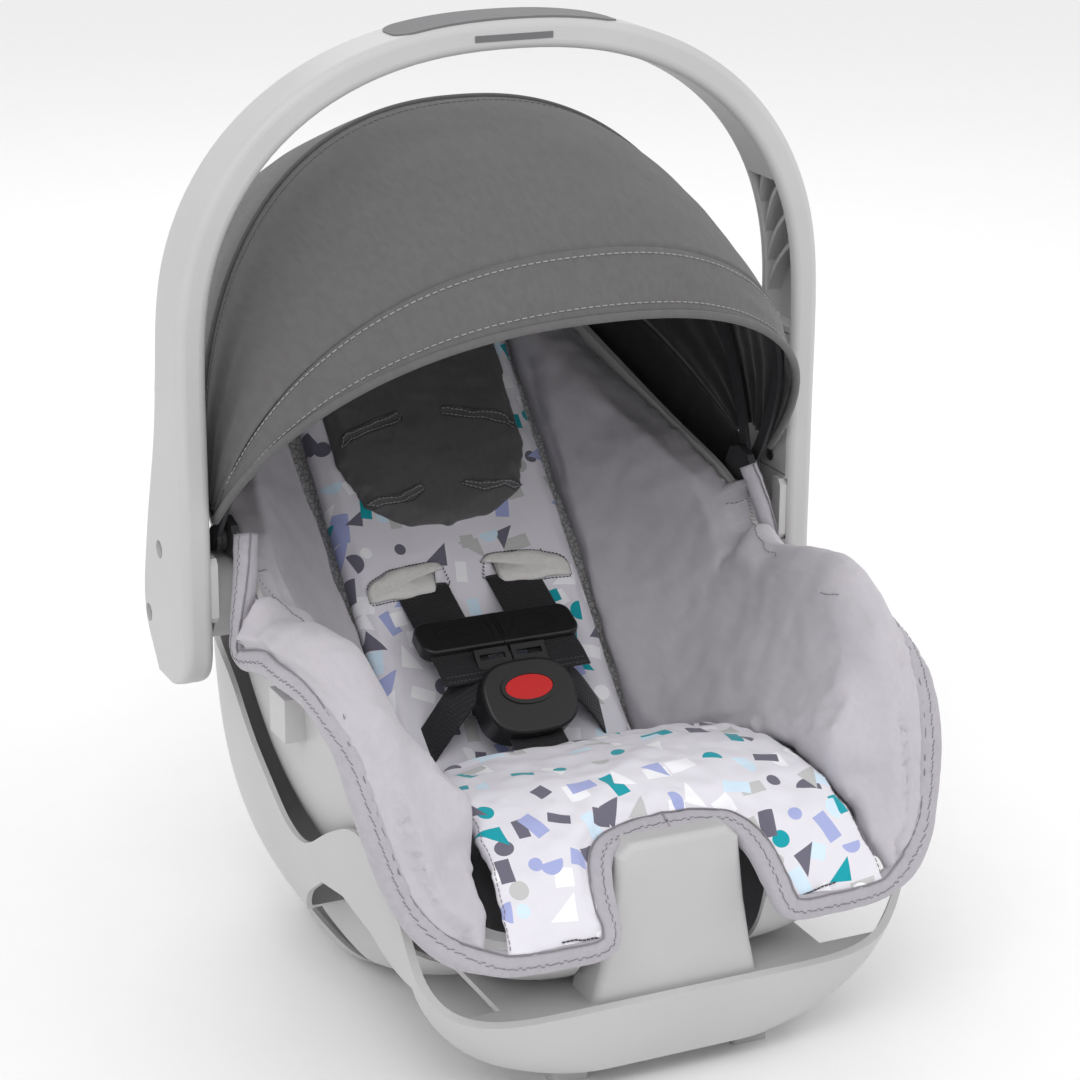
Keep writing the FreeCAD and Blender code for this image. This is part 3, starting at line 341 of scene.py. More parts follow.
@dataclass(frozen=True)
class PrintedCloth:
    """Pale cloth with small flat figures strewn over it."""

    name: str = "print_cloth"
    ground: Colour = tone(0.895, 0.885, 0.915)
    layers: tuple[Scatter, ...] = (Scatter(0.0290, 0.60, 3.0), Scatter(0.0250, 0.62, 11.0),
                                   Scatter(0.0270, 0.62, 23.0))
    inks: tuple[Colour, ...] = (tone(0.05, 0.63, 0.68), tone(0.975, 0.975, 0.99), tone(0.66, 0.69, 0.87),
                                tone(0.77, 0.77, 0.77), tone(0.43, 0.42, 0.48), tone(0.84, 0.92, 0.98),
                                tone(0.975, 0.975, 0.99), tone(0.43, 0.42, 0.48))

    def figures(self, paint: Paint, across: Sock, along: Sock, layer: Scatter) -> tuple[Sock, Sock]:
        """One layer's figures.

        Args:
            paint: the material being written.
            across: metres across the cloth.
            along: metres along the cloth.
            layer: the layer's pitch and draw.

        Returns:
            Where ink lies, and its colour.
        """
        column, row = across / layer.pitch + layer.seed * 0.37, along / layer.pitch + layer.seed * 0.61
        cell = paint.join(column.math("FLOOR"), row.math("FLOOR"), layer.seed)
        first = paint.node("ShaderNodeTexWhiteNoise", {"noise_dimensions": "3D"}, {"Vector": cell}, "Color")
        second = paint.node("ShaderNodeTexWhiteNoise", {"noise_dimensions": "4D"},
                            {"Vector": cell, "W": layer.seed + 1.7}, "Color")
        turn, kind, present = paint.split(first)
        shift, ink, grow = paint.split(second)
        left = column.math("FRACT") - 0.5 + (shift - 0.5) * 0.16
        up = row.math("FRACT") - 0.5 + (grow - 0.5) * 0.16
        angle = (turn * 4.0).math("FLOOR") * (math.pi / 2) + (turn - 0.5) * 0.9
        cosine, sine = angle.math("COSINE"), angle.math("SINE")
        scale = 1.22 - 0.30 * grow
        x = (left * cosine + up * sine) * scale
        y = (up * cosine - left * sine) * scale
        flat, tall = x.math("ABSOLUTE"), y.math("ABSOLUTE")
        radius = (x * x + y * y).math("SQRT")
        shapes = {
            Figure.OBLONG: (flat < 0.33) * (tall < 0.17),
            Figure.SQUARE: (flat < 0.21) * (tall < 0.21),
            Figure.TRIANGLE: (x > -0.24) * (y > -0.24) * ((x + y) < 0.10),
            Figure.DISC: radius < 0.185,
            Figure.HALF_DISC: (radius < 0.27) * (y > -0.02),
        }
        drawn: Sock | None = None
        floor = 0.0
        for figure, shape in shapes.items():
            chosen = (kind > floor) * (kind < figure.value) * shape
            drawn = chosen if drawn is None else drawn + chosen
            floor = figure.value
        share = 1.0 / len(self.inks)
        stops = tuple((number * share, colour) for number, colour in enumerate(self.inks))
        colour = paint.node("ShaderNodeValToRGB", {"stops": stops, "interpolation": "CONSTANT"}, {"Fac": ink})
        return drawn * (present < layer.filled), colour

    def make(self) -> bpy.types.Material:
        """Write the material."""
        paint = Paint(self.name)
        place = paint.place()
        across, along, _ = paint.split(paint.lay())
        weave = Cloth("weave", self.ground, self.ground)
        height, slub = weave.yarns(paint, place)
        colour: Sock | Colour = self.ground
        for layer in self.layers:
            drawn, ink = self.figures(paint, across, along, layer)
            colour = paint.blend(drawn, colour, ink)
        folds = paint.noise(place, 22.0, 3.0, 0.45)
        normal = paint.bump(folds, 0.005)
        normal = paint.bump(height, 0.0002, 0.7, normal)
        return paint.finish(paint.surface(colour, 0.78 + 0.1 * slub, normal, Sheen_Weight=0.2,
                                          Sheen_Roughness=0.5, Specular_IOR_Level=0.25))


@dataclass(frozen=True)
class Webbing:
    """Tightly woven harness webbing: ribs across, with a twill over them."""

    name: str = "webbing"
    colour: Colour = tone(0.09, 0.09, 0.10)

    def make(self) -> bpy.types.Material:
        """Write the material."""
        paint = Paint(self.name)
        across, along, edge = paint.split(paint.lay())
        ribs = (along * (2 * math.pi / 0.0022)).math("SINE") * 0.5 + 0.5
        twill = ((across + along * 0.5) * (2 * math.pi / 0.0034)).math("SINE") * 0.5 + 0.5
        height = ribs * 0.5 + twill * 0.5
        colour = paint.blend(height * 0.5, self.colour, tone(0.16, 0.16, 0.175))
        return paint.finish(paint.surface(colour, 0.55 + 0.15 * twill, paint.bump(height, 0.0003),
                                          Specular_IOR_Level=0.4, Sheen_Weight=0.15))


@dataclass(frozen=True)
class BeadFoam:
    """Moulded bead foam: pale cells pressed together."""

    name: str = "foam"

    def make(self) -> bpy.types.Material:
        """Write the material."""
        paint = Paint(self.name)
        cells = paint.node("ShaderNodeTexVoronoi", {"feature": "DISTANCE_TO_EDGE"},
                           {"Vector": paint.place(), "Scale": 280.0})
        rounded = cells.ramp(0.0, 0.12)
        colour = paint.blend(rounded, tone(0.74, 0.74, 0.74), tone(0.93, 0.93, 0.93))
        return paint.finish(paint.surface(colour, 0.7 + 0.1 * rounded, paint.bump(rounded, 0.0006)))


@dataclass(frozen=True)
class Fleece:
    """Brushed white lining."""

    name: str = "fleece"

    def make(self) -> bpy.types.Material:
        """Write the material."""
        paint = Paint(self.name)
        place = paint.place()
        pile = paint.noise(place, 700.0, 5.0, 0.7) * 0.6 + paint.noise(place, 190.0, 3.0) * 0.4
        colour = paint.blend(pile, tone(0.82, 0.81, 0.80), tone(0.97, 0.965, 0.95))
        return paint.finish(paint.surface(colour, 0.9 - 0.1 * pile, paint.bump(pile, 0.0014), Sheen_Weight=0.4))


LIGHT_GREY = Moulding("moulded_shell", tone(0.765, 0.762, 0.762), tone(0.742, 0.738, 0.740), gloss=0.40)
GREY_GRIP = Moulding("dark_grip", tone(0.44, 0.44, 0.445), tone(0.40, 0.40, 0.41), gloss=0.58, grain=0.00016,
                     grain_scale=600.0)
BLACK_PLASTIC = Moulding("buckle_plastic", tone(0.120, 0.120, 0.125), tone(0.150, 0.150, 0.155), gloss=0.34)
RED_PLASTIC = Moulding("red_button", tone(0.83, 0.07, 0.08), tone(0.72, 0.05, 0.06), gloss=0.28)
BOW_PLASTIC = Moulding("bow_plastic", tone(0.18, 0.18, 0.19), tone(0.22, 0.22, 0.23), gloss=0.5)
FOOT_RUBBER = Moulding("foot_rubber", tone(0.70, 0.70, 0.70), tone(0.62, 0.62, 0.62), gloss=0.6, grain=0.0001)
CANOPY_CLOTH = Cloth("canopy_cloth", tone(0.415, 0.410, 0.412), tone(0.375, 0.370, 0.372), yarn=0.0008,
                     rumple=0.0012, rumple_scale=9.0, sheen=0.12, roughness=0.72)
HEAD_CLOTH = Cloth("head_cloth", tone(0.385, 0.38, 0.382), tone(0.35, 0.345, 0.348), rumple=0.0018)
WING_CLOTH = Cloth("wing_cloth", tone(0.770, 0.755, 0.780), tone(0.738, 0.723, 0.750), rumple=0.0018,
                   rumple_scale=13.0)
BINDING_CLOTH = Cloth("binding_cloth", tone(0.715, 0.700, 0.728), tone(0.672, 0.657, 0.686), rumple=0.0004,
                      rumple_scale=120.0)
# Darker grey for the inner face of the canopy's cloth: painted shade under the hood.
CANOPY_INSIDE_SHADE = Cloth("canopy_inside_shade", tone(0.20, 0.20, 0.205), tone(0.16, 0.16, 0.165))
PALE_THREAD = Cloth("pale_thread", tone(0.66, 0.65, 0.66), tone(0.58, 0.57, 0.58), rumple=0.0)
GREY_THREAD = Cloth("grey_thread", tone(0.55, 0.54, 0.56), tone(0.48, 0.47, 0.49), rumple=0.0)
DARK_THREAD = Cloth("dark_thread", tone(0.32, 0.31, 0.34), tone(0.25, 0.25, 0.27), rumple=0.0)


class Wardrobe:
    """Makes each finish once and hands the same material to every piece that wears it."""

    def __init__(self) -> None:
        """Start with nothing made."""
        self.made: dict[str, bpy.types.Material] = {}

    def get(self, finish) -> bpy.types.Material:
        """The finish's material."""
        if finish.name not in self.made:
            self.made[finish.name] = finish.make()
        return self.made[finish.name]


# ---------------------------------------------------------------- mesh writing
def build(name: str, points: Array, faces: list, material: bpy.types.Material,
          lay: Array | None = None, turn_out: bool = True) -> bpy.types.Object:
    """Make a smooth mesh object from points and faces.

    Args:
        name: the piece's name.
        points: its vertices.
        faces: its faces, as vertex numbers.
        material: its finish.
        lay: where each vertex lies on the cloth, if the finish asks.
        turn_out: whether to turn the faces outwards, for a closed mesh.

    Returns:
        The object, linked to the scene.
    """
    mesh = bpy.data.meshes.new(name)
    mesh.from_pydata([tuple(point) for point in np.asarray(points, float)], [], faces)
    if turn_out:
        made = bmesh.new()
        made.from_mesh(mesh)
        bmesh.ops.recalc_face_normals(made, faces=made.faces)
        made.to_mesh(mesh)
        made.free()
    mesh.shade_smooth()
    mesh.materials.append(material)
    item = bpy.data.objects.new(name, mesh)
    bpy.context.scene.collection.objects.link(item)
    if lay is not None:
        set_lay(item, lay)
    return item


def set_lay(item: bpy.types.Object, lay: Array) -> None:
    """Store where each vertex lies on the cloth."""
    found = item.data.attributes.get("lay") or item.data.attributes.new("lay", "FLOAT_VECTOR", "POINT")
    found.data.foreach_set("vector", np.asarray(lay, np.float32).ravel())


def points_of(item: bpy.types.Object) -> Array:
    """The vertices of a mesh object."""
    places = np.zeros(len(item.data.vertices) * 3, np.float32)
    item.data.vertices.foreach_get("co", places)
    return places.reshape(-1, 3).astype(float)


def set_points(item: bpy.types.Object, points: Array) -> None:
    """Move the vertices of a mesh object."""
    item.data.vertices.foreach_set("co", np.asarray(points, np.float32).ravel())
    item.data.update()


def settle_modifiers(item: bpy.types.Object) -> None:
    """Turn the modified shape into the object's own mesh."""
    graph = bpy.context.evaluated_depsgraph_get()
    graph.update()
    mesh = bpy.data.meshes.new_from_object(item.evaluated_get(graph))
    item.modifiers.clear()
    old, item.data = item.data, mesh
    bpy.data.meshes.remove(old)
    item.data.name = item.name


def modify(item: bpy.types.Object, kind: str, **settings) -> None:
    """Add a modifier with its settings and make its result the mesh."""
    added = item.modifiers.new(kind.title(), kind)
    for key, value in settings.items():
        setattr(added, key, value)
    settle_modifiers(item)


def merged_copy(node: str, name: str, material: bpy.types.Material) -> bpy.types.Object:
    """A welded copy of a CAD node, wearing a finish."""
    source = frame["nodes"][node]
    made = bmesh.new()
    made.from_mesh(source.data)
    bmesh.ops.remove_doubles(made, verts=made.verts, dist=2e-5)
    mesh = bpy.data.meshes.new(name)
    made.to_mesh(mesh)
    made.free()
    mesh.materials.clear()
    mesh.materials.append(material)
    item = bpy.data.objects.new(name, mesh)
    bpy.context.scene.collection.objects.link(item)
    return item


def unit(vectors: Array) -> Array:
    """Vectors brought to length 1."""
    return vectors / np.maximum(np.linalg.norm(vectors, axis=-1, keepdims=True), 1e-12)


def smooth_line(points, count: int, closed: bool = False) -> Array:
    """A smooth line through points, cut into even steps.

    Args:
        points: the points it passes.
        count: how many points to hand back.
        closed: whether it runs back to its start.

    Returns:
        The line's points.
    """
    knots = np.asarray([tuple(point) for point in points], float)
    knots = np.vstack([knots[-1:], knots, knots[:2]]) if closed else np.vstack(
        [2 * knots[:1] - knots[1:2], knots, 2 * knots[-1:] - knots[-2:-1]])
    share = np.linspace(0, 1, 16, endpoint=False)[:, None]
    spans = []
    for before, start, end, after in zip(knots, knots[1:], knots[2:], knots[3:]):
        spans.append(0.5 * (2 * start + (end - before) * share + (2 * before - 5 * start + 4 * end - after) * share ** 2
                            + (3 * start - before - 3 * end + after) * share ** 3))
    fine = np.vstack(spans + [knots[-2:-1]])
    run = np.concatenate([[0], np.cumsum(np.linalg.norm(np.diff(fine, axis=0), axis=1))])
    wanted = np.linspace(0, run[-1], count, endpoint=not closed)
    return np.column_stack([np.interp(wanted, run, fine[:, axis]) for axis in range(3)])


def lengths(line: Array) -> Array:
    """The distance along a line at each of its points."""
    return np.concatenate([[0], np.cumsum(np.linalg.norm(np.diff(line, axis=0), axis=1))])


def carried_sides(line: Array, first: Vector) -> Array:
    """Side directions carried along a line without twisting."""
    ways = unit(np.gradient(line, axis=0))
    side = np.array(first, float)
    sides = []
    for way in ways:
        side = side - way * (side @ way)
        side = side / max(np.linalg.norm(side), 1e-9)
        sides.append(side)
    return np.array(sides)


def sweep(line: Array, across: Array, section: Array, closed: bool = False) -> tuple[Array, list, Array]:
    """Carry a closed outline along a line.

    Args:
        line: the line's points.
        across: the direction of the outline's first axis at each point.
        section: the outline's points.
        closed: whether the line runs back to its start.

    Returns:
        Points, faces and where each point lies on the strip.
    """
    ways = unit((np.roll(line, -1, 0) - np.roll(line, 1, 0)) if closed else np.gradient(line, axis=0))
    across = unit(across - ways * np.sum(across * ways, axis=1, keepdims=True))
    rise = np.cross(ways, across)
    points = (line[:, None] + section[None, :, :1] * across[:, None] + section[None, :, 1:2] * rise[:, None])
    count, ring = len(line), len(section)
    faces = []
    for row in range(count if closed else count - 1):
        after = (row + 1) % count
        for place in range(ring):
            beside = (place + 1) % ring
            faces.append((row * ring + place, row * ring + beside, after * ring + beside, after * ring + place))
    if not closed:
        faces.append(tuple(range(ring))[::-1])
        faces.append(tuple((count - 1) * ring + place for place in range(ring)))
    run = lengths(line)
    lay = np.zeros((count, ring, 3))
    lay[:, :, 0] = section[None, :, 0]
    lay[:, :, 1] = run[:, None]
    return points.reshape(-1, 3), faces, lay.reshape(-1, 3)


def round_section(radius: float, sides: int = 8, flat: float = 1.0) -> Array:
    """A circle's outline, or an oval's where flat is under 1."""
    turns = np.linspace(0, 2 * math.pi, sides, endpoint=False)
    return np.column_stack([np.cos(turns) * radius, np.sin(turns) * radius * flat])


def strap_section(width: float, thickness: float) -> Array:
    """A flat strap's outline with softened edges."""
    half, edge = width / 2, thickness / 2
    shares = (-1.0, -0.985, -0.93, -0.4, 0.4, 0.93, 0.985, 1.0)
    heights = (0.35, 0.85, 1.0, 1.0, 1.0, 1.0, 0.85, 0.35)
    top = [(half * share, edge * height) for share, height in zip(shares, heights)]
    return np.array(top + [(x, -y) for x, y in reversed(top)])


def tube(name: str, line: Array, radius: float, material: bpy.types.Material, closed: bool = False,
         side: Vector = Vector((0, 0, 1)), flat: float = 1.0, sides: int = 8) -> bpy.types.Object:
    """A round or oval tube along a line."""
    section = round_section(radius, sides, flat)
    points, faces, lay = sweep(line, carried_sides(line, side), section, closed)
    return build(name, points, faces, material, lay)


def grid(rows: int, columns: int) -> list[tuple[int, int, int, int]]:
    """The faces of a sheet of points laid out in rows."""
    return [(row * columns + column, row * columns + column + 1, (row + 1) * columns + column + 1,
             (row + 1) * columns + column) for row in range(rows - 1) for column in range(columns - 1)]


def surface_of(item: bpy.types.Object) -> BVHTree:
    """A search tree over a mesh object's faces."""
    mesh = item.data
    return BVHTree.FromPolygons([vertex.co.copy() for vertex in mesh.vertices],
                                [tuple(face.vertices) for face in mesh.polygons])


def lie_on(line: Array, tree: BVHTree, lift: float) -> Array:
    """Bring a line down onto a surface, held a little off it."""
    laid = []
    for point in line:
        place, normal, _, _ = tree.find_nearest(Vector(point))
        laid.append(tuple(place + normal * lift) if place is not None else tuple(point))
    return np.array(laid)


def rumpled(points: Array, normals: Array, height: float, scale: float, seed: float) -> Array:
    """Points pushed in and out along their normals by a fixed soft noise."""
    moved = [height * noise.fractal(Vector(point) * scale + Vector((seed, seed * 0.7, -seed)), 0.6, 2.0, 3)
             for point in points]
    return points + normals * np.array(moved)[:, None]


def normals_of(item: bpy.types.Object) -> Array:
    """The vertex normals of a mesh object."""
    return np.array([tuple(vertex.normal) for vertex in item.data.vertices], float)


# ---------------------------------------------------------------- stitches
class StitchTree:
    """The node tree that lays short threads along a line of edges."""

    INPUTS = (("Pitch", 0.0042), ("Thread length", 0.0030), ("Thread radius", 0.00042))

    def __init__(self) -> None:
        """Write the tree once."""
        tree = bpy.data.node_groups.new("stitch_run", "GeometryNodeTree")
        tree.interface.new_socket("Geometry", in_out="INPUT", socket_type="NodeSocketGeometry")
        for label, start in self.INPUTS:
            tree.interface.new_socket(label, in_out="INPUT", socket_type="NodeSocketFloat").default_value = start
        tree.interface.new_socket("Thread", in_out="INPUT", socket_type="NodeSocketMaterial")
        tree.interface.new_socket("Geometry", in_out="OUTPUT", socket_type="NodeSocketGeometry")
        entry, leave = tree.nodes.new("NodeGroupInput"), tree.nodes.new("NodeGroupOutput")
        curve = tree.nodes.new("GeometryNodeMeshToCurve")
        steps = tree.nodes.new("GeometryNodeCurveToPoints")
        steps.mode = "LENGTH"
        thread = tree.nodes.new("GeometryNodeMeshCylinder")
        thread.inputs["Vertices"].default_value = 6
        place = tree.nodes.new("GeometryNodeInstanceOnPoints")
        real = tree.nodes.new("GeometryNodeRealizeInstances")
        dress = tree.nodes.new("GeometryNodeSetMaterial")
        for start, end in (
                (entry.outputs["Geometry"], curve.inputs[0]), (curve.outputs[0], steps.inputs["Curve"]),
                (entry.outputs["Pitch"], steps.inputs["Length"]),
                (entry.outputs["Thread radius"], thread.inputs["Radius"]),
                (entry.outputs["Thread length"], thread.inputs["Depth"]),
                (steps.outputs["Points"], place.inputs["Points"]), (thread.outputs["Mesh"], place.inputs["Instance"]),
                (steps.outputs["Rotation"], place.inputs["Rotation"]), (place.outputs[0], real.inputs[0]),
                (real.outputs[0], dress.inputs["Geometry"]), (entry.outputs["Thread"], dress.inputs["Material"]),
                (dress.outputs[0], leave.inputs[0])):
            tree.links.new(start, end)
        self.tree = tree
        self.keys = {item.name: item.identifier for item in tree.interface.items_tree if item.in_out == "INPUT"}

    def sew(self, name: str, lines: list[Array], thread: bpy.types.Material, pitch: float = 0.0042,
            length: float = 0.0030, radius: float = 0.00042) -> bpy.types.Object:
        """Lay stitches along lines.

        Args:
            name: the piece's name.
            lines: the lines' points.
            thread: the thread's material.
            pitch: the distance between stitches.
            length: a stitch's length.
            radius: the thread's radius.

        Returns:
            One mesh with every stitch.
        """
        mesh = bpy.data.meshes.new(name)
        points, edges = [], []
        for line in lines:
            start = len(points)
            points += [tuple(point) for point in line]
            edges += [(start + step, start + step + 1) for step in range(len(line) - 1)]
        mesh.from_pydata(points, edges, [])
        item = bpy.data.objects.new(name, mesh)
        bpy.context.scene.collection.objects.link(item)
        added = item.modifiers.new("Stitches", "NODES")
        added.node_group = self.tree
        for label, value in (("Pitch", pitch), ("Thread length", length), ("Thread radius", radius),
                             ("Thread", thread)):
            added[self.keys[label]] = value
        settle_modifiers(item)
        item.data.shade_smooth()
        return item


def puffed(item: bpy.types.Object, voxel: float, cap: float, keep_clear: BVHTree | None = None,
           pressure: float = 4.0, soften: int = 4) -> bpy.types.Object:
    """Turn a plain closed shape into a filled pad: even mesh, softened edges, cloth under pressure.

    Args:
        item: the plain shape.
        voxel: the even mesh's cell size.
        cap: how far a point may move.
        keep_clear: a hard surface that the pad doesn't swell into.
        pressure: the filling's pressure.
        soften: how many rounds of smoothing come first.

    Returns:
        The same object with its new mesh.
    """
    modify(item, "REMESH", mode="VOXEL", voxel_size=voxel, use_smooth_shade=True)
    modify(item, "SMOOTH", factor=0.6, iterations=soften)
    rest = points_of(item)
    moved = rest + normals_of(item) * cap * 0.25
    cloth = item.modifiers.new("Filling", "CLOTH")
    cloth.settings.use_pressure = True
    cloth.settings.uniform_pressure_force = pressure
    cloth.settings.effector_weights.gravity = 0.0
    scene = bpy.context.scene
    for frame_number in range(1, 21):
        scene.frame_set(frame_number)
    graph = bpy.context.evaluated_depsgraph_get()
    swollen = item.evaluated_get(graph).data
    places = np.zeros(len(swollen.vertices) * 3, np.float32)
    swollen.vertices.foreach_get("co", places)
    moved = places.reshape(-1, 3).astype(float)
    item.modifiers.clear()
    scene.frame_set(1)
    shift = moved - rest
    far = np.linalg.norm(shift, axis=1, keepdims=True)
    shift *= np.minimum(1.0, cap / np.maximum(far, 1e-9))
    if keep_clear is not None:
        room = np.array([keep_clear.find_nearest(Vector(point))[3] or 1.0 for point in rest])
        share = np.clip((room - 0.0035) / 0.012, 0, 1)[:, None]
        shift *= share * share * (3 - 2 * share)
    set_points(item, rest + shift)
    modify(item, "SUBSURF", levels=1, render_levels=1)
    item.data.shade_smooth()
    return item


# ---------------------------------------------------------------- the seat's back, shared by the soft pieces
@dataclass(frozen=True)
class Recline:
    """The plane of the seat's back: up from the bight, and out towards the child."""

    bight: Vector = Vector((0.0, -0.040, 0.108))
    slope: float = math.radians(46.7)

    @property
    def up(self) -> Vector:
        """The direction up the back."""
        return Vector((0, math.cos(self.slope), math.sin(self.slope)))

    @property
    def out(self) -> Vector:
        """The direction out of the back."""
        return Vector((0, -math.sin(self.slope), math.cos(self.slope)))

    def at(self, across: float, up: float, out: float) -> Vector:
        """A point given across, up the back and out of it."""
        return self.bight + Vector((across, 0, 0)) + self.up * up + self.out * out

    def lay(self, points: Array) -> Array:
        """Where points lie on the back's cloth: across and up."""
        up = (points - np.array(self.bight)) @ np.array(self.up)
        return np.column_stack([points[:, 0], up, np.zeros(len(points))])


BACK = Recline()


class Side(Enum):
    """The seat's two sides, seen from its head end."""

    LEFT = -1
    RIGHT = 1

    @property
    def word(self) -> str:
        """The side's name in a piece's name."""
        return self.name.lower()


def flipped(points: Array, side: Side) -> Array:
    """Points of the right side carried to the wanted side."""
    return points * np.array([side.value, 1, 1])


# ---------------------------------------------------------------- rigid pieces from the frame
@dataclass
class RigidParts:
    """The moulded, pressed and turned pieces, which keep the frame's own meshes."""

    wardrobe: Wardrobe
    finishes: dict[str, Moulding | Steel | BeadFoam] = field(default_factory=lambda: {
        "base_housing": LIGHT_GREY, "base_pan": LIGHT_GREY, "front_feet": FOOT_RUBBER, "latch_bar": Steel(),
        "latch_bar_posts": LIGHT_GREY, "pan_screws": Steel(), "carrier_shell": LIGHT_GREY,
        "foam_liner": BeadFoam(), "pivot_pin_left": Steel(), "pivot_pin_right": Steel(),
        "harness_yoke": Steel(), "tongue_left": BLACK_PLASTIC, "tongue_right": BLACK_PLASTIC, "buckle_base": BLACK_PLASTIC,
        "buckle_cover": BLACK_PLASTIC, "buckle_spring": Steel(), "canopy_mount_left": BOW_PLASTIC,
        "canopy_mount_right": BOW_PLASTIC, "lever_pin": Steel(), "lever_ears": LIGHT_GREY,
        "pad_clips": LIGHT_GREY, "chest_clip_left": BLACK_PLASTIC, "chest_clip_right": BLACK_PLASTIC,
        "buckle_button": RED_PLASTIC, "handle_bow": LIGHT_GREY, "handle_grip": GREY_GRIP,
        "handle_slot_insert": GREY_GRIP, "hub_screws": Steel(), "hub_cover_left": LIGHT_GREY,
        "hub_cover_right": LIGHT_GREY, "arm_cover_left": LIGHT_GREY, "arm_cover_right": LIGHT_GREY,
        "arm_cover_screws": Steel(), "button_spring_left": Steel(), "button_spring_right": Steel(),
        "handle_button_left": LIGHT_GREY, "handle_button_right": LIGHT_GREY, "canopy_mid_bow": BOW_PLASTIC,
        "canopy_front_bow": BOW_PLASTIC, "release_lever": LIGHT_GREY, "latch_hooks": Steel(),
    })

    def dress(self) -> None:
        """Give each rigid node its finish."""
        for node, finish in self.finishes.items():
            mesh = frame["nodes"][node].data
            mesh.materials.clear()
            mesh.materials.append(self.wardrobe.get(finish))
            LOG.info("%s wears %s", node, finish.name)


# ---------------------------------------------------------------- the seat pad
@dataclass
class SeatPad:
    """The sewn cover: side wings over the shell's rim, printed seat and back, head panel, binding."""

    wardrobe: Wardrobe
    stitches: StitchTree
    rim: tuple = ((-0.250, 0.120), (-0.243, 0.140), (-0.230, 0.180), (-0.208, 0.220), (-0.185, 0.240),
                  (-0.150, 0.258), (-0.100, 0.254), (-0.060, 0.249), (-0.030, 0.254))
    hem: tuple = ((0.128, -0.281, 0.109), (0.150, -0.272, 0.112), (0.166, -0.260, 0.124), (0.180, -0.244, 0.152),
                  (0.188, -0.230, 0.186), (0.190, -0.208, 0.214), (0.190, -0.180, 0.226), (0.188, -0.140, 0.229),
                  (0.187, -0.090, 0.224), (0.186, -0.040, 0.218))
    head_rim: tuple = ((-0.030, 0.254), (0.000, 0.268), (0.060, 0.292), (0.140, 0.322), (0.210, 0.364),
                       (0.268, 0.406), (0.300, 0.420))
    seat_line: tuple = ((-0.040, 0.106), (-0.060, 0.117), (-0.090, 0.138), (-0.128, 0.163), (-0.160, 0.173),
                        (-0.190, 0.172), (-0.228, 0.159), (-0.262, 0.138), (-0.281, 0.116), (-0.286, 0.104))
    edge_path: tuple = (((0.0, -0.240, 0.152), (0.0, 1.0, 0.45)), ((0.022, -0.241, 0.151), (0.05, 1.0, 0.45)),
                        ((0.040, -0.246, 0.147), (0.6, 0.8, 0.3)), ((0.0475, -0.257, 0.137), (1.0, 0.2, 0.1)),
                        ((0.0505, -0.270, 0.124), (1.0, 0.0, 0.0)), ((0.053, -0.279, 0.112), (0.9, 0.0, 0.4)),
                        ((0.062, -0.281, 0.1045), (0.4, 0.0, 0.9)), ((0.092, -0.281, 0.1030), (0.0, 0.0, 1.0)),
                        ((0.124, -0.279, 0.1045), (-0.1, 0.0, 1.0)))
    hub_path: tuple = (((0.1865, -0.030, 0.214), (0.0, -0.3, 1.0)), ((0.188, -0.0185, 0.222), (0.0, -1.0, 0.3)),
                       ((0.187, -0.0175, 0.245), (-0.2, -1.0, 0.0)), ((0.184, -0.014, 0.268), (-0.4, -1.0, 0.0)),
                       ((0.180, -0.004, 0.290), (-0.6, -0.8, 0.2)))
    slots: tuple = ((0.015, 0.153, 0.078, 0.138), (0.014, 0.266, 0.070, 0.248), (0.014, 0.210, 0.072, 0.190))
    print_near: float = 0.092
    print_far: float = 0.130
    slab: float = 0.0085
    corner_from: float = -0.150
    tower_half: float = 0.047
    tower_line: float = -0.241
    band_width: float = 0.0150
    band_depth: float = 0.0112
    band_count: int = 300

    def __post_init__(self) -> None:
        """Read the shell once."""
        self.shell = surface_of(merged_copy("carrier_shell", "shell_probe", self.wardrobe.get(LIGHT_GREY)))
        bpy.data.objects.remove(bpy.data.objects["shell_probe"])

    def shell_side(self, y: float, z: float) -> Vector:
        """The shell's outer face on the right at a depth and height."""
        place, _, _, _ = self.shell.ray_cast(Vector((0.4, y, z)), Vector((-1, 0, 0)))
        return place if place is not None else Vector((0.17, y, z))

    def rim_rows(self, count: int) -> tuple[Array, Array, Array]:
        """The right rim line, its outward directions and the hem line under it.

        Args:
            count: how many stations to cut.

        Returns:
            Rim points, outward directions and hem points.
        """
        rim = smooth_line([(0, y, z) for y, z in self.rim], count)
        for point in rim:
            point[0] = min(self.shell_side(point[1], point[2] - 0.004).x, 0.180)
        ways = unit(np.gradient(rim, axis=0) * np.array([1, 1, 0]))
        outward = unit(np.column_stack([ways[:, 1], -ways[:, 0], np.zeros(count)]))
        hem = smooth_line(self.hem, count)
        return rim, outward, hem

    def skirt(self, count: int = 60) -> tuple[Array, int]:
        """The cover's sheet from the wing's top, over the rim and down the outside to the hem.

        Args:
            count: how many stations lie along it.

        Returns:
            The sheet's points row by row, and the number of rows.
        """
        rim, outward, hem = self.rim_rows(count)
        rise = np.array([0, 0, 1.0])
        rows = [rim - outward * 0.014 - rise * 0.010, rim - outward * 0.010 + rise * 0.003,
                rim - outward * 0.002 + rise * 0.008, rim + outward * 0.005 + rise * 0.005]
        shoulder = rim + outward * 0.0075 - rise * 0.003
        for share in np.linspace(0, 1, 7):
            row = shoulder * (1 - share) + hem * share
            rows.append(row + outward * 0.004 * math.sin(math.pi * share))
        return np.array(rows), len(rows)

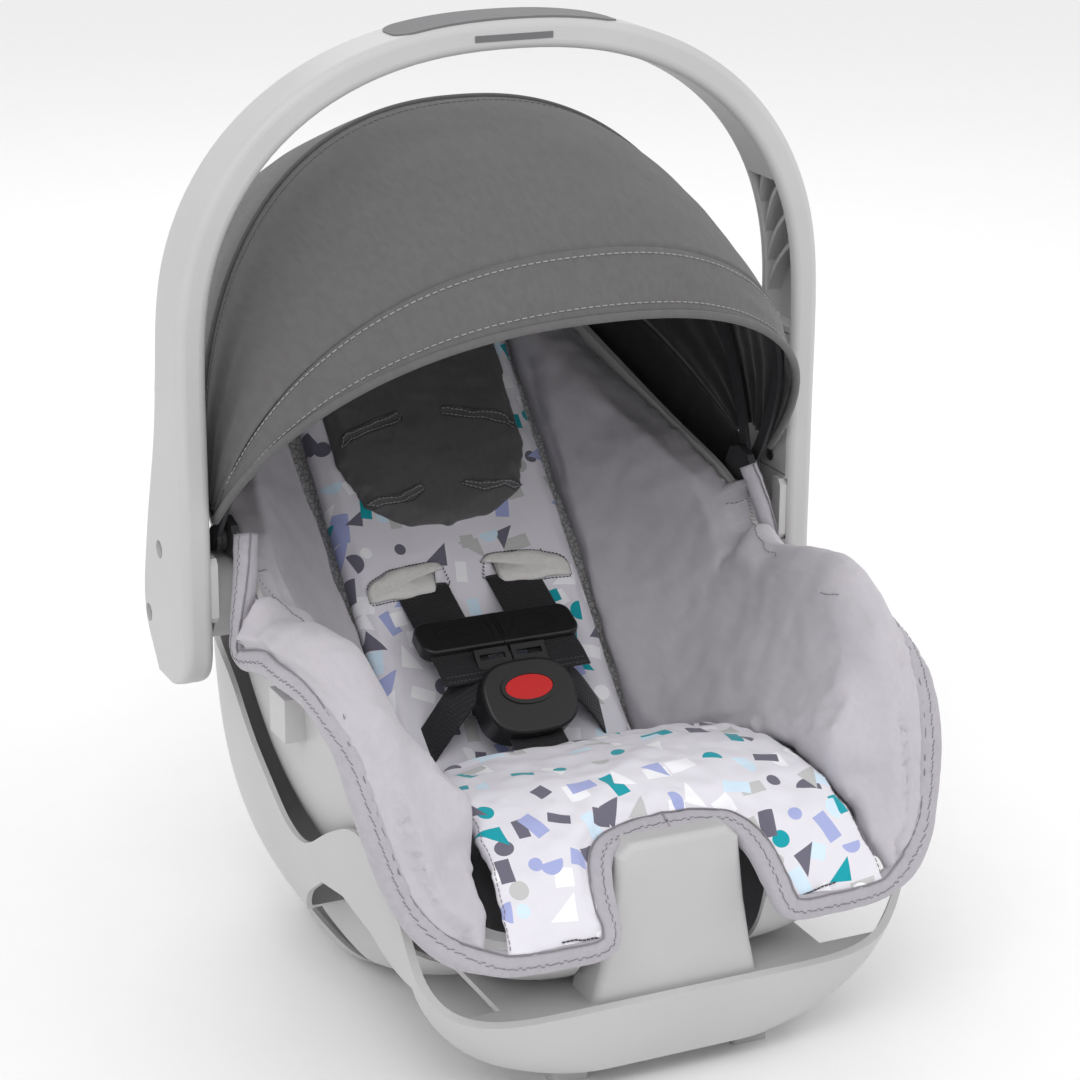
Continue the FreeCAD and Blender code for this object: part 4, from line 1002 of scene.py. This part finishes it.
    def wing(self) -> bpy.types.Object:
        """The right wing: the solid inside the shell with the skirt over the rim, filled as one pad."""
        item = merged_copy("wing_right", "wing_cover_right", self.wardrobe.get(WING_CLOTH))
        rows, count = self.skirt()
        sheet = build("skirt_sheet", rows.reshape(-1, 3), grid(count, rows.shape[1]),
                      self.wardrobe.get(WING_CLOTH), turn_out=False)
        modify(sheet, "SOLIDIFY", thickness=0.0085, offset=0.0)
        corner = self.seat_sheet("corner_sheet", lambda share: (self.print_edge(share) + 0.0005, 0.146), 0.28)
        joined = bmesh.new()
        for part in (item, sheet, corner):
            joined.from_mesh(part.data)
        joined.to_mesh(item.data)
        joined.free()
        for part in (sheet, corner):
            bpy.data.objects.remove(part)
        points = points_of(item)
        line = smooth_line([(0, y, z) for y, z in self.seat_line], 64)
        edge = np.interp(-points[:, 1], -line[:, 1], self.print_edge(np.linspace(0, 1, len(line))))
        low = (points[:, 1] < self.corner_from) & (points[:, 0] < edge)
        points[low, 0] = edge[low]
        set_points(item, points)
        item = puffed(item, 0.0042, 0.006, self.shell, soften=6)
        points = rumpled(points_of(item), normals_of(item), 0.0022, 17.0, 3.0)
        set_points(item, self.tucked(points))
        return item

    def place_wings(self) -> None:
        """Make both wings, the left as the right's mirror."""
        right = self.wing()
        left = right.copy()
        left.data = right.data.copy()
        left.name = "wing_cover_left"
        bpy.context.scene.collection.objects.link(left)
        set_points(left, flipped(points_of(left), Side.LEFT))
        left.data.flip_normals()
        self.wing_trees = {}
        for side, item in ((Side.RIGHT, right), (Side.LEFT, left)):
            self.wing_trees[side] = surface_of(item)
            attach(item, "carrier")
            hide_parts(f"wing_{side.word}")
            LOG.info("%s has %d vertices", item.name, len(item.data.vertices))

    def print_edge(self, share: float) -> float:
        """How far across the printed cloth reaches, at a share of the way to the front hem."""
        return self.print_near + (self.print_far - self.print_near) * share

    def seat_sheet(self, name: str, span, first_share: float = 0.0) -> bpy.types.Object:
        """A slab of the cover that follows the seat's side line down to the front hem.

        Args:
            name: the object's name.
            span: gives the slab's two sides at a share of the way.
            first_share: where it starts.

        Returns:
            The slab, with its top on the side line and the tower's notch left open.
        """
        line = smooth_line([(0, y, z) for y, z in self.seat_line], 64)
        ways = unit(np.gradient(line, axis=0))
        normals = np.column_stack([np.zeros(len(line)), ways[:, 2], -ways[:, 1]])
        line = line - normals * self.slab / 2
        shares = np.linspace(0, 1, len(line))
        kept = [number for number, share in enumerate(shares) if share >= first_share]
        steps = np.linspace(0, 1, 45)
        points = []
        for number in kept:
            near, far = span(shares[number])
            points += [(near + (far - near) * step, line[number][1], line[number][2]) for step in steps]
        faces = []
        for face in grid(len(kept), len(steps)):
            centre = np.mean([points[corner] for corner in face], axis=0)
            if abs(centre[0]) > self.tower_half or centre[1] > self.tower_line:
                faces.append(face)
        item = build(name, np.array(points), faces, self.wardrobe.get(PrintedCloth()), turn_out=False)
        modify(item, "SOLIDIFY", thickness=self.slab, offset=0.0)
        return item

    def seat_lay(self, points: Array) -> Array:
        """Where points lie on the seat's cloth: across, and along its side line."""
        line = smooth_line([(0, y, z) for y, z in self.seat_line], 240)[:, 1:]
        ways = unit(np.gradient(line, axis=0))
        run = np.concatenate([[0], np.cumsum(np.linalg.norm(np.diff(line, axis=0), axis=1))])
        nearest = np.argmin(((points[:, None, 1:] - line[None]) ** 2).sum(axis=2), axis=1)
        along = run[nearest] + np.sum((points[:, 1:] - line[nearest]) * ways[nearest], axis=1)
        return np.column_stack([points[:, 0], -along, np.zeros(len(points))])

    def place_seat(self) -> None:
        """Make the printed seat with its two front flaps."""
        item = self.seat_sheet("seat_cover", lambda share: (-self.print_edge(share), self.print_edge(share)))
        item = puffed(item, 0.0038, 0.007, soften=4)
        points = points_of(item)
        set_points(item, self.tucked(rumpled(points, normals_of(item), 0.0028, 21.0, 8.0)))
        set_lay(item, self.seat_lay(points_of(item)))
        self.seat_tree = surface_of(item)
        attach(item, "carrier")
        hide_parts("seat_cushion")
        LOG.info("seat_cover has %d vertices", len(item.data.vertices))

    def place_back(self) -> None:
        """Make the printed back and the head panel on it."""
        back = merged_copy("back_pad", "back_cover", self.wardrobe.get(PrintedCloth()))
        back = puffed(back, 0.0042, 0.005, soften=3)
        points = points_of(back)
        dish = np.clip(np.abs(points[:, 0]) / 0.088, 0, 1) ** 2 * 0.008
        set_points(back, points + dish[:, None] * np.array(BACK.out))
        set_lay(back, BACK.lay(points_of(back)))
        self.back_tree = surface_of(back)
        panel = merged_copy("head_panel", "head_cover", self.wardrobe.get(HEAD_CLOTH))
        panel = puffed(panel, 0.0032, 0.004, soften=3)
        points = points_of(panel)
        dish = np.clip(np.abs(points[:, 0]) / 0.088, 0, 1) ** 2 * 0.008 + 0.002
        set_points(panel, rumpled(points + dish[:, None] * np.array(BACK.out), normals_of(panel), 0.001, 30.0, 5.0))
        self.head_tree = surface_of(panel)
        for item, node, slot in ((back, "back_pad", "print_cloth"), (panel, "head_panel", "head_cloth")):
            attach(item, "carrier")
            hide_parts(node)
            LOG.info("%s has %d vertices", item.name, len(item.data.vertices))

    def slit_line(self, slot: tuple, side: Side, gap: float, tree: BVHTree, lift: float) -> Array:
        """A loop round a harness slit, lying on the cloth.

        Args:
            slot: the slit's ends, across and up.
            side: which side of the middle it is on.
            gap: half the loop's width.
            tree: the cloth's surface.
            lift: how far it stands off the cloth.

        Returns:
            The loop's points, the last the same as the first.
        """
        start, end = np.array(slot[:2]), np.array(slot[2:])
        way = unit(end - start)
        cross = np.array([-way[1], way[0]])
        length = float(np.linalg.norm(end - start))
        loop = []
        for turn in np.linspace(0, 2 * math.pi, 49):
            along = length * (0.5 - 0.5 * math.cos(turn))
            off = gap * math.copysign(abs(math.sin(turn)) ** 0.5, math.sin(turn))
            x, up = start + way * along + cross * off
            loop.append(tuple(BACK.at(side.value * x, up, 0.03)))
        return lie_on(np.array(loop), tree, lift)

    def place_slits(self) -> None:
        """Bind the harness slits and line the two in use with fleece."""
        edges, threads, mouths = [], [], []
        for number, slot in enumerate(self.slots):
            tree = self.back_tree if number == 0 else self.head_tree
            for side in Side:
                gap = 0.0075 if number == 0 else 0.0022
                threads.append(self.slit_line(slot, side, gap + 0.002, tree, 0.0007))
                if number == 0:
                    mouths.append((side, self.slit_line(slot, side, gap, tree, 0.0006)))
                else:
                    edges.append((side, number, self.slit_line(slot, side, gap, tree, 0.0004)))
        thread = self.stitches.sew("slit_stitches", threads, self.wardrobe.get(DARK_THREAD), 0.0026, 0.0018, 0.00038)
        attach(thread, "carrier")
        pale = self.stitches.sew("head_slit_stitches", [line for _, _, line in edges],
                                 self.wardrobe.get(PALE_THREAD), 0.0030, 0.0022, 0.00040)
        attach(pale, "carrier")
        for side, loop in mouths:
            centre = loop[:-1].mean(axis=0)
            rings = [centre + (loop[:-1] - centre) * share + np.array(BACK.out) * height
                     for share, height in ((1.0, 0.0), (0.9, 0.0016), (0.6, 0.0020), (0.25, 0.0012), (1.02, -0.004),)]
            points = np.vstack(rings[:4] + [centre[None] + np.array(BACK.out) * 0.001])
            ring = len(loop) - 1
            faces = [(row * ring + step, row * ring + (step + 1) % ring, (row + 1) * ring + (step + 1) % ring,
                      (row + 1) * ring + step) for row in range(3) for step in range(ring)]
            faces += [(3 * ring + step, 3 * ring + (step + 1) % ring, 4 * ring) for step in range(ring)]
            fleece = build(f"slit_fleece_{side.word}", points, faces, self.wardrobe.get(Fleece()), turn_out=False)
            modify(fleece, "SOLIDIFY", thickness=0.0015, offset=0.0)
            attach(fleece, "carrier")

    def band_line(self) -> tuple[Array, Array, Array]:
        """The binding's middle line on the right, from the tower's notch round the hem to the hub.

        Returns:
            Its points, the directions into the cloth and the directions out of it.
        """
        rim, _, hem = self.rim_rows(60)
        sides = [(tuple(low), tuple(unit(high - low))) for high, low in zip(rim[4:-3:5], hem[4:-3:5])]
        knots = list(self.edge_path) + sides + list(self.hub_path)
        line = smooth_line([place for place, _ in knots], self.band_count)
        runs = lengths(np.array([place for place, _ in knots]))
        shares = lengths(line) / lengths(line)[-1] * runs[-1]
        inward = unit(np.column_stack([np.interp(shares, runs, [way[axis] for _, way in knots])
                                       for axis in range(3)]))
        line = line + inward * (self.band_width / 2 - 0.002)
        out = unit(np.cross(unit(np.gradient(line, axis=0)), inward))
        away = line - np.array([0, -0.06, 0.10])
        out *= np.sign(np.sum(out * away, axis=1))[:, None]
        return line, inward, out

    def tucked(self, points: Array) -> Array:
        """Press the cover thin where the binding holds its edge.

        Args:
            points: the cover's points.

        Returns:
            The points, with those near the hem drawn into the binding.
        """
        line, inward, out = self.band_line()
        half_width, half_depth = self.band_width / 2, self.band_depth / 2 - 0.0014
        folded = points * np.array([1.0, 1.0, 1.0])
        folded[:, 0] = np.abs(folded[:, 0])
        signs = np.where(points[:, 0] < 0, -1.0, 1.0)
        for start in range(0, len(points), 4000):
            part = slice(start, start + 4000)
            nearest = np.argmin(((folded[part, None] - line[None]) ** 2).sum(axis=2), axis=1)
            offset = folded[part] - line[nearest]
            into = np.sum(offset * inward[nearest], axis=1)
            off = np.sum(offset * out[nearest], axis=1)
            held = np.clip((half_width + 0.007 - into) / 0.007, 0, 1)
            held = np.where(np.linalg.norm(offset, axis=1) < 0.024, held * held * (3 - 2 * held), 0.0)
            pressed = np.clip(off, -half_depth, half_depth) - off
            raised = np.maximum(into, 0.0015 - half_width) - into
            folded[part] += (out[nearest] * pressed[:, None] + inward[nearest] * raised[:, None]) * held[:, None]
        folded[:, 0] *= signs
        return folded

    def place_binding(self) -> None:
        """Bind the cover's hem with a broad band, with its seam line and its stitches."""
        line, inward, out = self.band_line()
        section = np.array([(self.band_width / 2 * math.copysign(abs(math.cos(turn)) ** 0.6, math.cos(turn)),
                             self.band_depth / 2 * math.copysign(abs(math.sin(turn)) ** 0.6, math.sin(turn)))
                            for turn in np.linspace(0, 2 * math.pi, 16, endpoint=False)])
        puckers = np.array([0.0007 * noise.fractal(Vector(point) * 60.0, 0.6, 2.0, 3) for point in line])
        line = line + out * puckers[:, None]
        seam = line + out * (self.band_depth / 2 - 0.0009) + inward * (self.band_width / 2 - 0.0004)
        middle = line + out * (self.band_depth / 2 + 0.0001) - inward * 0.001
        turns = np.where(np.arange(self.band_count) % 2 == 0, 1.0, -1.0)
        zigzag = middle + inward * (0.0008 * turns)[:, None]
        for side in Side:
            points, faces, lay = sweep(flipped(line, side), flipped(inward, side), section)
            band = build(f"cover_binding_{side.word}", points, faces, self.wardrobe.get(BINDING_CLOTH), lay)
            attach(band, "carrier")
            cord = tube(f"binding_seam_{side.word}", flipped(seam, side), 0.0006, self.wardrobe.get(GREY_THREAD),
                        sides=6)
            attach(cord, "carrier")
            thread = self.stitches.sew(f"binding_stitches_{side.word}", [flipped(zigzag, side)],
                                       self.wardrobe.get(GREY_THREAD), 0.0030, 0.0021, 0.00032)
            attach(thread, "carrier")

    def place_seams(self) -> None:
        """Sew the seams between print and wings, the wings' arc seams and the flaps' slits."""
        seams = []
        for side in Side:
            knots = smooth_line([(0, y, z) for y, z in self.seat_line], 80)[16:-4]
            for number, point in enumerate(knots):
                point[0] = self.print_edge((number + 16) / 79) - 0.0012
            seams.append(lie_on(flipped(knots + np.array([0, -0.004, 0.006]), side), self.seat_tree, 0.0002))
        thread = self.stitches.sew("seat_seam_stitches", seams, self.wardrobe.get(GREY_THREAD), 0.0036, 0.0024, 0.0003)
        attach(thread, "carrier")
        arcs = []
        for side in Side:
            arc = smooth_line([(0.150, -0.072, 0.268), (0.158, -0.052, 0.286), (0.160, -0.036, 0.290),
                               (0.152, -0.016, 0.282)], 30)
            arcs.append(lie_on(flipped(arc, side), self.wing_trees[side], 0.0005))
            pleat = smooth_line([(0.183, -0.189, 0.237), (0.170, -0.170, 0.247), (0.157, -0.150, 0.250)], 20)
            arcs.append(lie_on(flipped(pleat, side), self.wing_trees[side], 0.0005))
        thread = self.stitches.sew("wing_seam_stitches", arcs, self.wardrobe.get(GREY_THREAD), 0.0034, 0.0024, 0.0003)
        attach(thread, "carrier")
        slits = []
        for side in Side:
            slit = smooth_line([(0.064, -0.300, 0.124), (0.076, -0.300, 0.127), (0.088, -0.300, 0.131)], 12)
            slits.append(lie_on(flipped(slit, side), self.seat_tree, 0.0006))
        thread = self.stitches.sew("flap_slit_stitches", slits, self.wardrobe.get(DARK_THREAD), 0.0024, 0.0020, 0.0005)
        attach(thread, "carrier")

    def make(self) -> None:
        """Build and place the whole cover."""
        self.place_wings()
        self.place_seat()
        self.place_back()
        self.place_slits()
        self.place_binding()
        self.place_seams()


# ---------------------------------------------------------------- the harness
@dataclass
class Harness:
    """Shoulder, lap and crotch webbing, with the seams of the folds sewn at the tongues."""

    wardrobe: Wardrobe
    stitches: StitchTree
    strap_offset: float = 0.033
    strap_width: float = 0.038
    lap_width: float = 0.022
    thickness: float = 0.0017
    shoulder_line: tuple = ((0.058, 0.0395), (0.072, 0.0350), (0.085, 0.0285), (0.110, 0.0175), (0.132, 0.0085),
                            (0.143, 0.0035), (0.1465, -0.006), (0.1465, -0.024), (0.145, -0.037),
                            (0.132, -0.0388), (0.118, -0.0388))

    def strap(self, name: str, line: Array, across: Array, width: float, nodes: tuple[str, ...]) -> bpy.types.Object:
        """One length of webbing.

        Args:
            name: the piece's name.
            line: its middle line.
            across: the direction across it at each point.
            width: its width.
            nodes: the CAD nodes it stands for.

        Returns:
            The strap.
        """
        points, faces, lay = sweep(line, across, strap_section(width, self.thickness))
        item = build(name, points, faces, self.wardrobe.get(Webbing()), lay)
        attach(item, "carrier")
        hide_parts(*nodes)
        LOG.info("%s is %.0f mm long", name, lengths(line)[-1] * 1000)
        return item

    def make(self) -> None:
        """Build every strap."""
        sewn = []
        for side in Side:
            centre = side.value * self.strap_offset
            line = smooth_line([BACK.at(centre, up, out) for up, out in self.shoulder_line], 90)
            across = np.tile(np.array([1.0, 0, 0]), (len(line), 1))
            strap = self.strap(f"shoulder_webbing_{side.word}", line, across, self.strap_width,
                               (f"shoulder_strap_{side.word}",))
            tree = surface_of(strap)
            for up in (0.066, 0.070):
                across_line = [BACK.at(centre + step, up, 0.06) for step in np.linspace(-0.015, 0.015, 12)]
                sewn.append(lie_on(np.array([tuple(point) for point in across_line]), tree, 0.0003))
            low, high = BACK.at(side.value * 0.070, 0.024, 0.000), BACK.at(side.value * 0.0295, 0.062, 0.0365)
            middle = (low + high) / 2 + BACK.out * 0.004
            lap = smooth_line([low, middle, high], 40)
            turn = np.linspace(0, 1, len(lap))[:, None]
            ways = unit(np.array([[0, 0.6, 0.8]]) * (1 - turn) + np.array([tuple(BACK.up)]) * turn)
            self.strap(f"lap_webbing_{side.word}", lap, ways, self.lap_width, (f"lap_strap_{side.word}",))
        low, high = Vector((0, -0.078, 0.128)), BACK.at(0, 0.017, 0.0375)
        middle = (low + high) / 2 + BACK.out * 0.003
        line = smooth_line([low, middle, high], 24)
        self.strap("crotch_webbing", line, np.tile(np.array([1.0, 0, 0]), (len(line), 1)), self.strap_width,
                   ("crotch_strap",))
        thread = self.stitches.sew("webbing_stitches", sewn, self.wardrobe.get(DARK_THREAD), 0.0026, 0.0018, 0.0003)
        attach(thread, "carrier")


# ---------------------------------------------------------------- the canopy
@dataclass
class Canopy:
    """The folding canopy: three sewn lengths of cloth over two bows, with piping and bound edges."""

    wardrobe: Wardrobe
    stitches: StitchTree
    shell: BVHTree
    rim: tuple
    power: float = 2.3
    start: float = 0.024
    rear: tuple = ((26.0, 0.318), (34.0, 0.306), (42.0, 0.294), (60.0, 0.271), (76.5, 0.259))
    front: tuple = ((76.5, 0.2590), (93.0, 0.2445), (108.0, 0.2355), (123.0, 0.2305))
    brim: tuple = ((123.0, 0.2305), (128.0, 0.2265), (134.6, 0.2225))
    rear_half: float = 0.1965
    front_half: float = 0.1960
    brim_half: float = 0.1950
    cloth: float = 0.0012
    across_count: int = 121

    @property
    def pivot(self) -> Vector:
        """The line the bows turn about, at the middle plane."""
        joint = next(item for item in frame["joints"] if item["name"] == "canopy_mid_fold")
        return Vector((0.0, *joint["pos_m"][1:]))

    def arch(self, half: float, rise: float, angle: float, start: float | None = None,
             count: int | None = None) -> Array:
        """An arch over the pivot line.

        Args:
            half: half its width.
            rise: its height above the pivot line.
            angle: its lean from the head end, in degrees.
            start: the share of the half turn where it starts, if not the canopy's own.
            count: how many points it has.

        Returns:
            The arch's points.
        """
        start = self.start if start is None else start
        turns = math.pi * np.linspace(start, 1 - start, count or self.across_count)
        reach = np.sign(np.cos(turns)) * np.abs(np.cos(turns)) ** (2 / self.power)
        height = rise * np.sin(turns) ** (2 / self.power)
        lean = math.radians(angle)
        return np.array(self.pivot) + np.column_stack([half * reach, height * math.cos(lean),
                                                       height * math.sin(lean)])

    def cloth_rows(self, half: float, stations: tuple, rows: int, sag: float, seed: float) -> Array:
        """The rows of one length of cloth, drawn in between its bows and gathered at its ends.

        Args:
            half: half its width.
            stations: its leans and rises.
            rows: how many rows to cut.
            sag: how far it dips between its edges.
            seed: where its gathers start.

        Returns:
            The rows' points.
        """
        angles = [angle for angle, _ in stations]
        wanted = np.linspace(angles[0], angles[-1], rows)
        knots = smooth_line([(angle, rise, 0) for angle, rise in stations], 60)
        sheet = []
        turns = np.linspace(self.start, 1 - self.start, self.across_count)
        crown = np.sin(math.pi * turns)
        for angle in wanted:
            rise = float(np.interp(angle, knots[:, 0], knots[:, 1]))
            share = (angle - angles[0]) / (angles[-1] - angles[0])
            row = self.arch(half, rise, angle)
            out = unit(row - np.array(self.pivot) * np.array([0, 1, 1]) - np.array([[0, 0, 0]]))
            dip = sag * math.sin(math.pi * share) * (0.35 + 0.65 * crown)
            gather = 0.0016 * (1 - crown) ** 2 * np.sin(share * math.pi * 7 + seed + 2 * turns)
            drift = np.array([0.0022 * noise.fractal(Vector((turn * 5.0, share * 1.6, seed)), 0.6, 2.0, 3)
                              for turn in turns]) * math.sin(math.pi * share)
            sheet.append(row - out * (dip - gather - drift)[:, None])
        return np.array(sheet)

    def length_of_cloth(self, name: str, rows: Array, finish: Cloth,
                        node: str | None = None) -> tuple[bpy.types.Object, BVHTree]:
        """One length of cloth as a piece, and its surface.

        Args:
            name: the piece's name.
            rows: its rows of points.
            finish: its finish.
            node: the CAD node it stands for, if any.

        Returns:
            The piece and a search tree over its sheet.
        """
        count, across = rows.shape[:2]
        lay = np.zeros(rows.shape)
        lay[:, :, 0] = lengths(rows[count // 2])[None]
        lay[:, :, 1] = lengths(rows[:, across // 2])[:, None]
        item = build(name, rows.reshape(-1, 3), grid(count, across), self.wardrobe.get(finish),
                     lay.reshape(-1, 3), turn_out=False)
        centre = self.pivot
        face = item.data.polygons[len(item.data.polygons) // 2]
        if face.normal.dot(face.center - centre) < 0:
            item.data.flip_normals()
        tree = surface_of(item)
        # The inner face of each length wears the darker grey: painted shade inside the canopy.
        item.data.materials.append(self.wardrobe.get(CANOPY_INSIDE_SHADE))
        modify(item, "SOLIDIFY", thickness=self.cloth, offset=-1.0, material_offset=1)
        if node:
            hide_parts(node)
        return item, tree

    def shell_point(self, shell: BVHTree, towards: Array, height: float) -> Vector:
        """The shell's outer face on a level line from its middle towards a point."""
        heart = Vector((0, 0.060, height))
        way = Vector((towards[0], towards[1] - heart.y, 0)).normalized()
        place, _, _, _ = shell.ray_cast(heart + way * 0.6, -way)
        return place if place is not None else heart + way * 0.18

    def skirt_rows(self, shell: BVHTree, rim: tuple) -> Array:
        """The cloth's rows from the rear arch down over the shell's rim to an elastic hem.

        Args:
            shell: the shell's surface.
            rim: the rim's depths and heights, from the hub to the head end.

        Returns:
            The rows' points, from the arch to the hem.
        """
        top = self.arch(self.rear_half, self.rear[0][1], self.rear[0][0])
        depths, heights = [y for y, _ in rim], [z for _, z in rim]
        hem = []
        for number, point in enumerate(top):
            middle = math.sin(math.pi * number / (len(top) - 1))
            drop = 0.038 + 0.030 * math.sin(math.pi * min(1.0, 1.6 * (1 - middle))) - 0.004 * middle
            level = float(np.interp(point[1], depths, heights)) - drop
            place = self.shell_point(shell, point, level)
            out = Vector((place.x, place.y - 0.060, 0)).normalized()
            pucker = 0.0013 * math.sin(number * 1.9)
            hem.append(tuple(place + out * (0.0055 + pucker)))
        hem = np.array(hem)
        rows = []
        for share in np.linspace(0, 1, 15):
            row = top * (1 - share) + hem * share
            out = unit((row - np.array([0, 0.060, 0])) * np.array([1, 1, 0]))
            folds = 0.0016 * np.sin(np.arange(len(top)) * 0.55 + share * 2.0) * share
            rows.append(row + out * (0.010 * math.sin(math.pi * share) ** 0.8 + folds)[:, None])
        return np.array(rows)

    def crown(self, stations: tuple, place: int) -> Vector:
        """The top of the arch at one of the stations."""
        angle, rise = stations[place]
        lean = math.radians(angle)
        return self.pivot + Vector((0, rise * math.cos(lean), rise * math.sin(lean)))

    def make(self) -> None:
        """Build the canopy's cloth, piping, binding and stitches."""
        rear_rows = self.cloth_rows(self.rear_half, self.rear, 33, 0.006, 0.4)
        front_rows = self.cloth_rows(self.front_half, self.front, 33, 0.004, 1.9)
        brim_rows = self.cloth_rows(self.brim_half, self.brim, 11, 0.0, 3.1)
        rear, rear_tree = self.length_of_cloth("canopy_rear_cloth", rear_rows, CANOPY_CLOTH, "canopy_rear_panel")
        self.crown(self.rear, 0)
        self.crown(self.rear, -1)
        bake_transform(rear)
        front, front_tree = self.length_of_cloth("canopy_front_cloth", front_rows, CANOPY_CLOTH, "canopy_front_panel")
        self.crown(self.front, 0)
        self.crown(self.front, -1)
        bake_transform(front)
        brim, brim_tree = self.length_of_cloth("canopy_brim_cloth", brim_rows, CANOPY_CLOTH, "canopy_brim")
        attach(brim, "canopy_front")
        piping = tube("canopy_mid_piping", rear_rows[-1], 0.0021, self.wardrobe.get(CANOPY_CLOTH), sides=8)
        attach(piping, "canopy_mid")
        edge = tube("canopy_brim_binding", brim_rows[-1], 0.0026, self.wardrobe.get(CANOPY_CLOTH), sides=8)
        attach(edge, "canopy_front")
        skirt_rows = self.skirt_rows(self.shell, self.rim)
        skirt, _ = self.length_of_cloth("canopy_skirt_cloth", skirt_rows, CANOPY_CLOTH)
        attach(skirt, "carrier")
        hem = tube("canopy_rear_binding", skirt_rows[-1], 0.0034, self.wardrobe.get(CANOPY_CLOTH), sides=8)
        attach(hem, "carrier")
        thread = self.wardrobe.get(PALE_THREAD)
        dark = self.wardrobe.get(GREY_THREAD)
        trim = slice(4, -4)
        near_mid = lie_on(self.arch(self.front_half, 0.2565, 79.0)[trim], front_tree, 0.0004)
        seam = self.stitches.sew("canopy_mid_stitches", [near_mid], dark, 0.0042, 0.0028, 0.0003)
        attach(seam, "canopy_mid")
        bow_lines = [lie_on(self.arch(self.brim_half, rise, angle)[trim], tree, 0.0004)
                     for angle, rise, tree in ((124.2, 0.2295, brim_tree), (132.6, 0.2235, brim_tree))]
        sewn = self.stitches.sew("canopy_brim_stitches", bow_lines, thread, 0.0046, 0.0031, 0.00042)
        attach(sewn, "canopy_front")


# ---------------------------------------------------------------- the room
@dataclass
class Studio:
    """A plain pale floor, soft lights and the camera."""

    wardrobe: Wardrobe
    eye: Vector = Vector((-0.7755, -1.7003, 0.8985))
    back: Vector = Vector((-0.40447, -0.85561, 0.32302))
    roll: float = math.radians(0.427)
    lens: float = 101.7

    def floor(self) -> None:
        """Lay the floor."""
        paint = Paint("pale_floor")
        speck = paint.noise(paint.place(), 30.0, 3.0)
        colour = paint.blend(speck, tone(0.965, 0.965, 0.965), tone(0.975, 0.975, 0.975))
        shader = paint.surface(colour, 0.9 + 0.05 * speck, Specular_IOR_Level=0.1)
        half = 6.0
        item = build("floor", np.array([(-half, -half, 0), (half, -half, 0), (half, half, 0), (-half, half, 0)]),
                     [(0, 1, 2, 3)], paint.finish(shader), turn_out=False)

    def light(self, name: str, place: Vector, target: Vector, size: float, power: float) -> None:
        """Hang one square soft light."""
        lamp = bpy.data.lights.new(name, "AREA")
        lamp.size, lamp.energy = size, power
        item = bpy.data.objects.new(name, lamp)
        item.location = place
        item.rotation_mode = "QUATERNION"
        item.rotation_quaternion = (target - place).to_track_quat("-Z", "Y")
        bpy.context.scene.collection.objects.link(item)

    def make(self) -> None:
        """Set the floor, lights, sky and camera."""
        self.floor()
        scene = bpy.context.scene
        scene.view_settings.view_transform = "Standard"
        world = bpy.data.worlds.new("studio")
        world.use_nodes = True
        sky = world.node_tree.nodes["Background"]
        sky.inputs["Color"].default_value = (1.0, 1.0, 1.0, 1.0)
        sky.inputs["Strength"].default_value = 0.90
        scene.world = world
        middle = Vector((0, 0, 0.3))
        self.light("key_light", Vector((-1.2, -1.6, 2.4)), middle, 1.6, 19.0)
        self.light("fill_light", Vector((1.9, -1.2, 1.2)), middle, 1.8, 5.0)
        self.light("rim_light", Vector((0.6, 1.8, 2.0)), middle, 1.4, 9.0)
        camera = bpy.data.cameras.new("camera")
        camera.lens, camera.sensor_width = self.lens, 36.0
        camera.clip_start, camera.clip_end = 0.05, 50.0
        item = bpy.data.objects.new("camera", camera)
        item.rotation_mode = "QUATERNION"
        aim = (-self.back).to_track_quat("-Z", "Y")
        item.rotation_quaternion = aim @ Matrix.Rotation(self.roll, 3, "Z").to_quaternion()
        item.location = self.eye
        scene.collection.objects.link(item)
        scene.camera = item


def main() -> None:
    """Build the car seat's looks and the room round it."""
    logging.basicConfig(level=logging.INFO, format="%(message)s")
    wardrobe = Wardrobe()
    stitches = StitchTree()
    RigidParts(wardrobe).dress()
    cover = SeatPad(wardrobe, stitches)
    cover.make()
    Harness(wardrobe, stitches).make()
    Canopy(wardrobe, stitches, cover.shell, cover.head_rim).make()
    Studio(wardrobe).make()


if __name__ == "__main__":
    main()
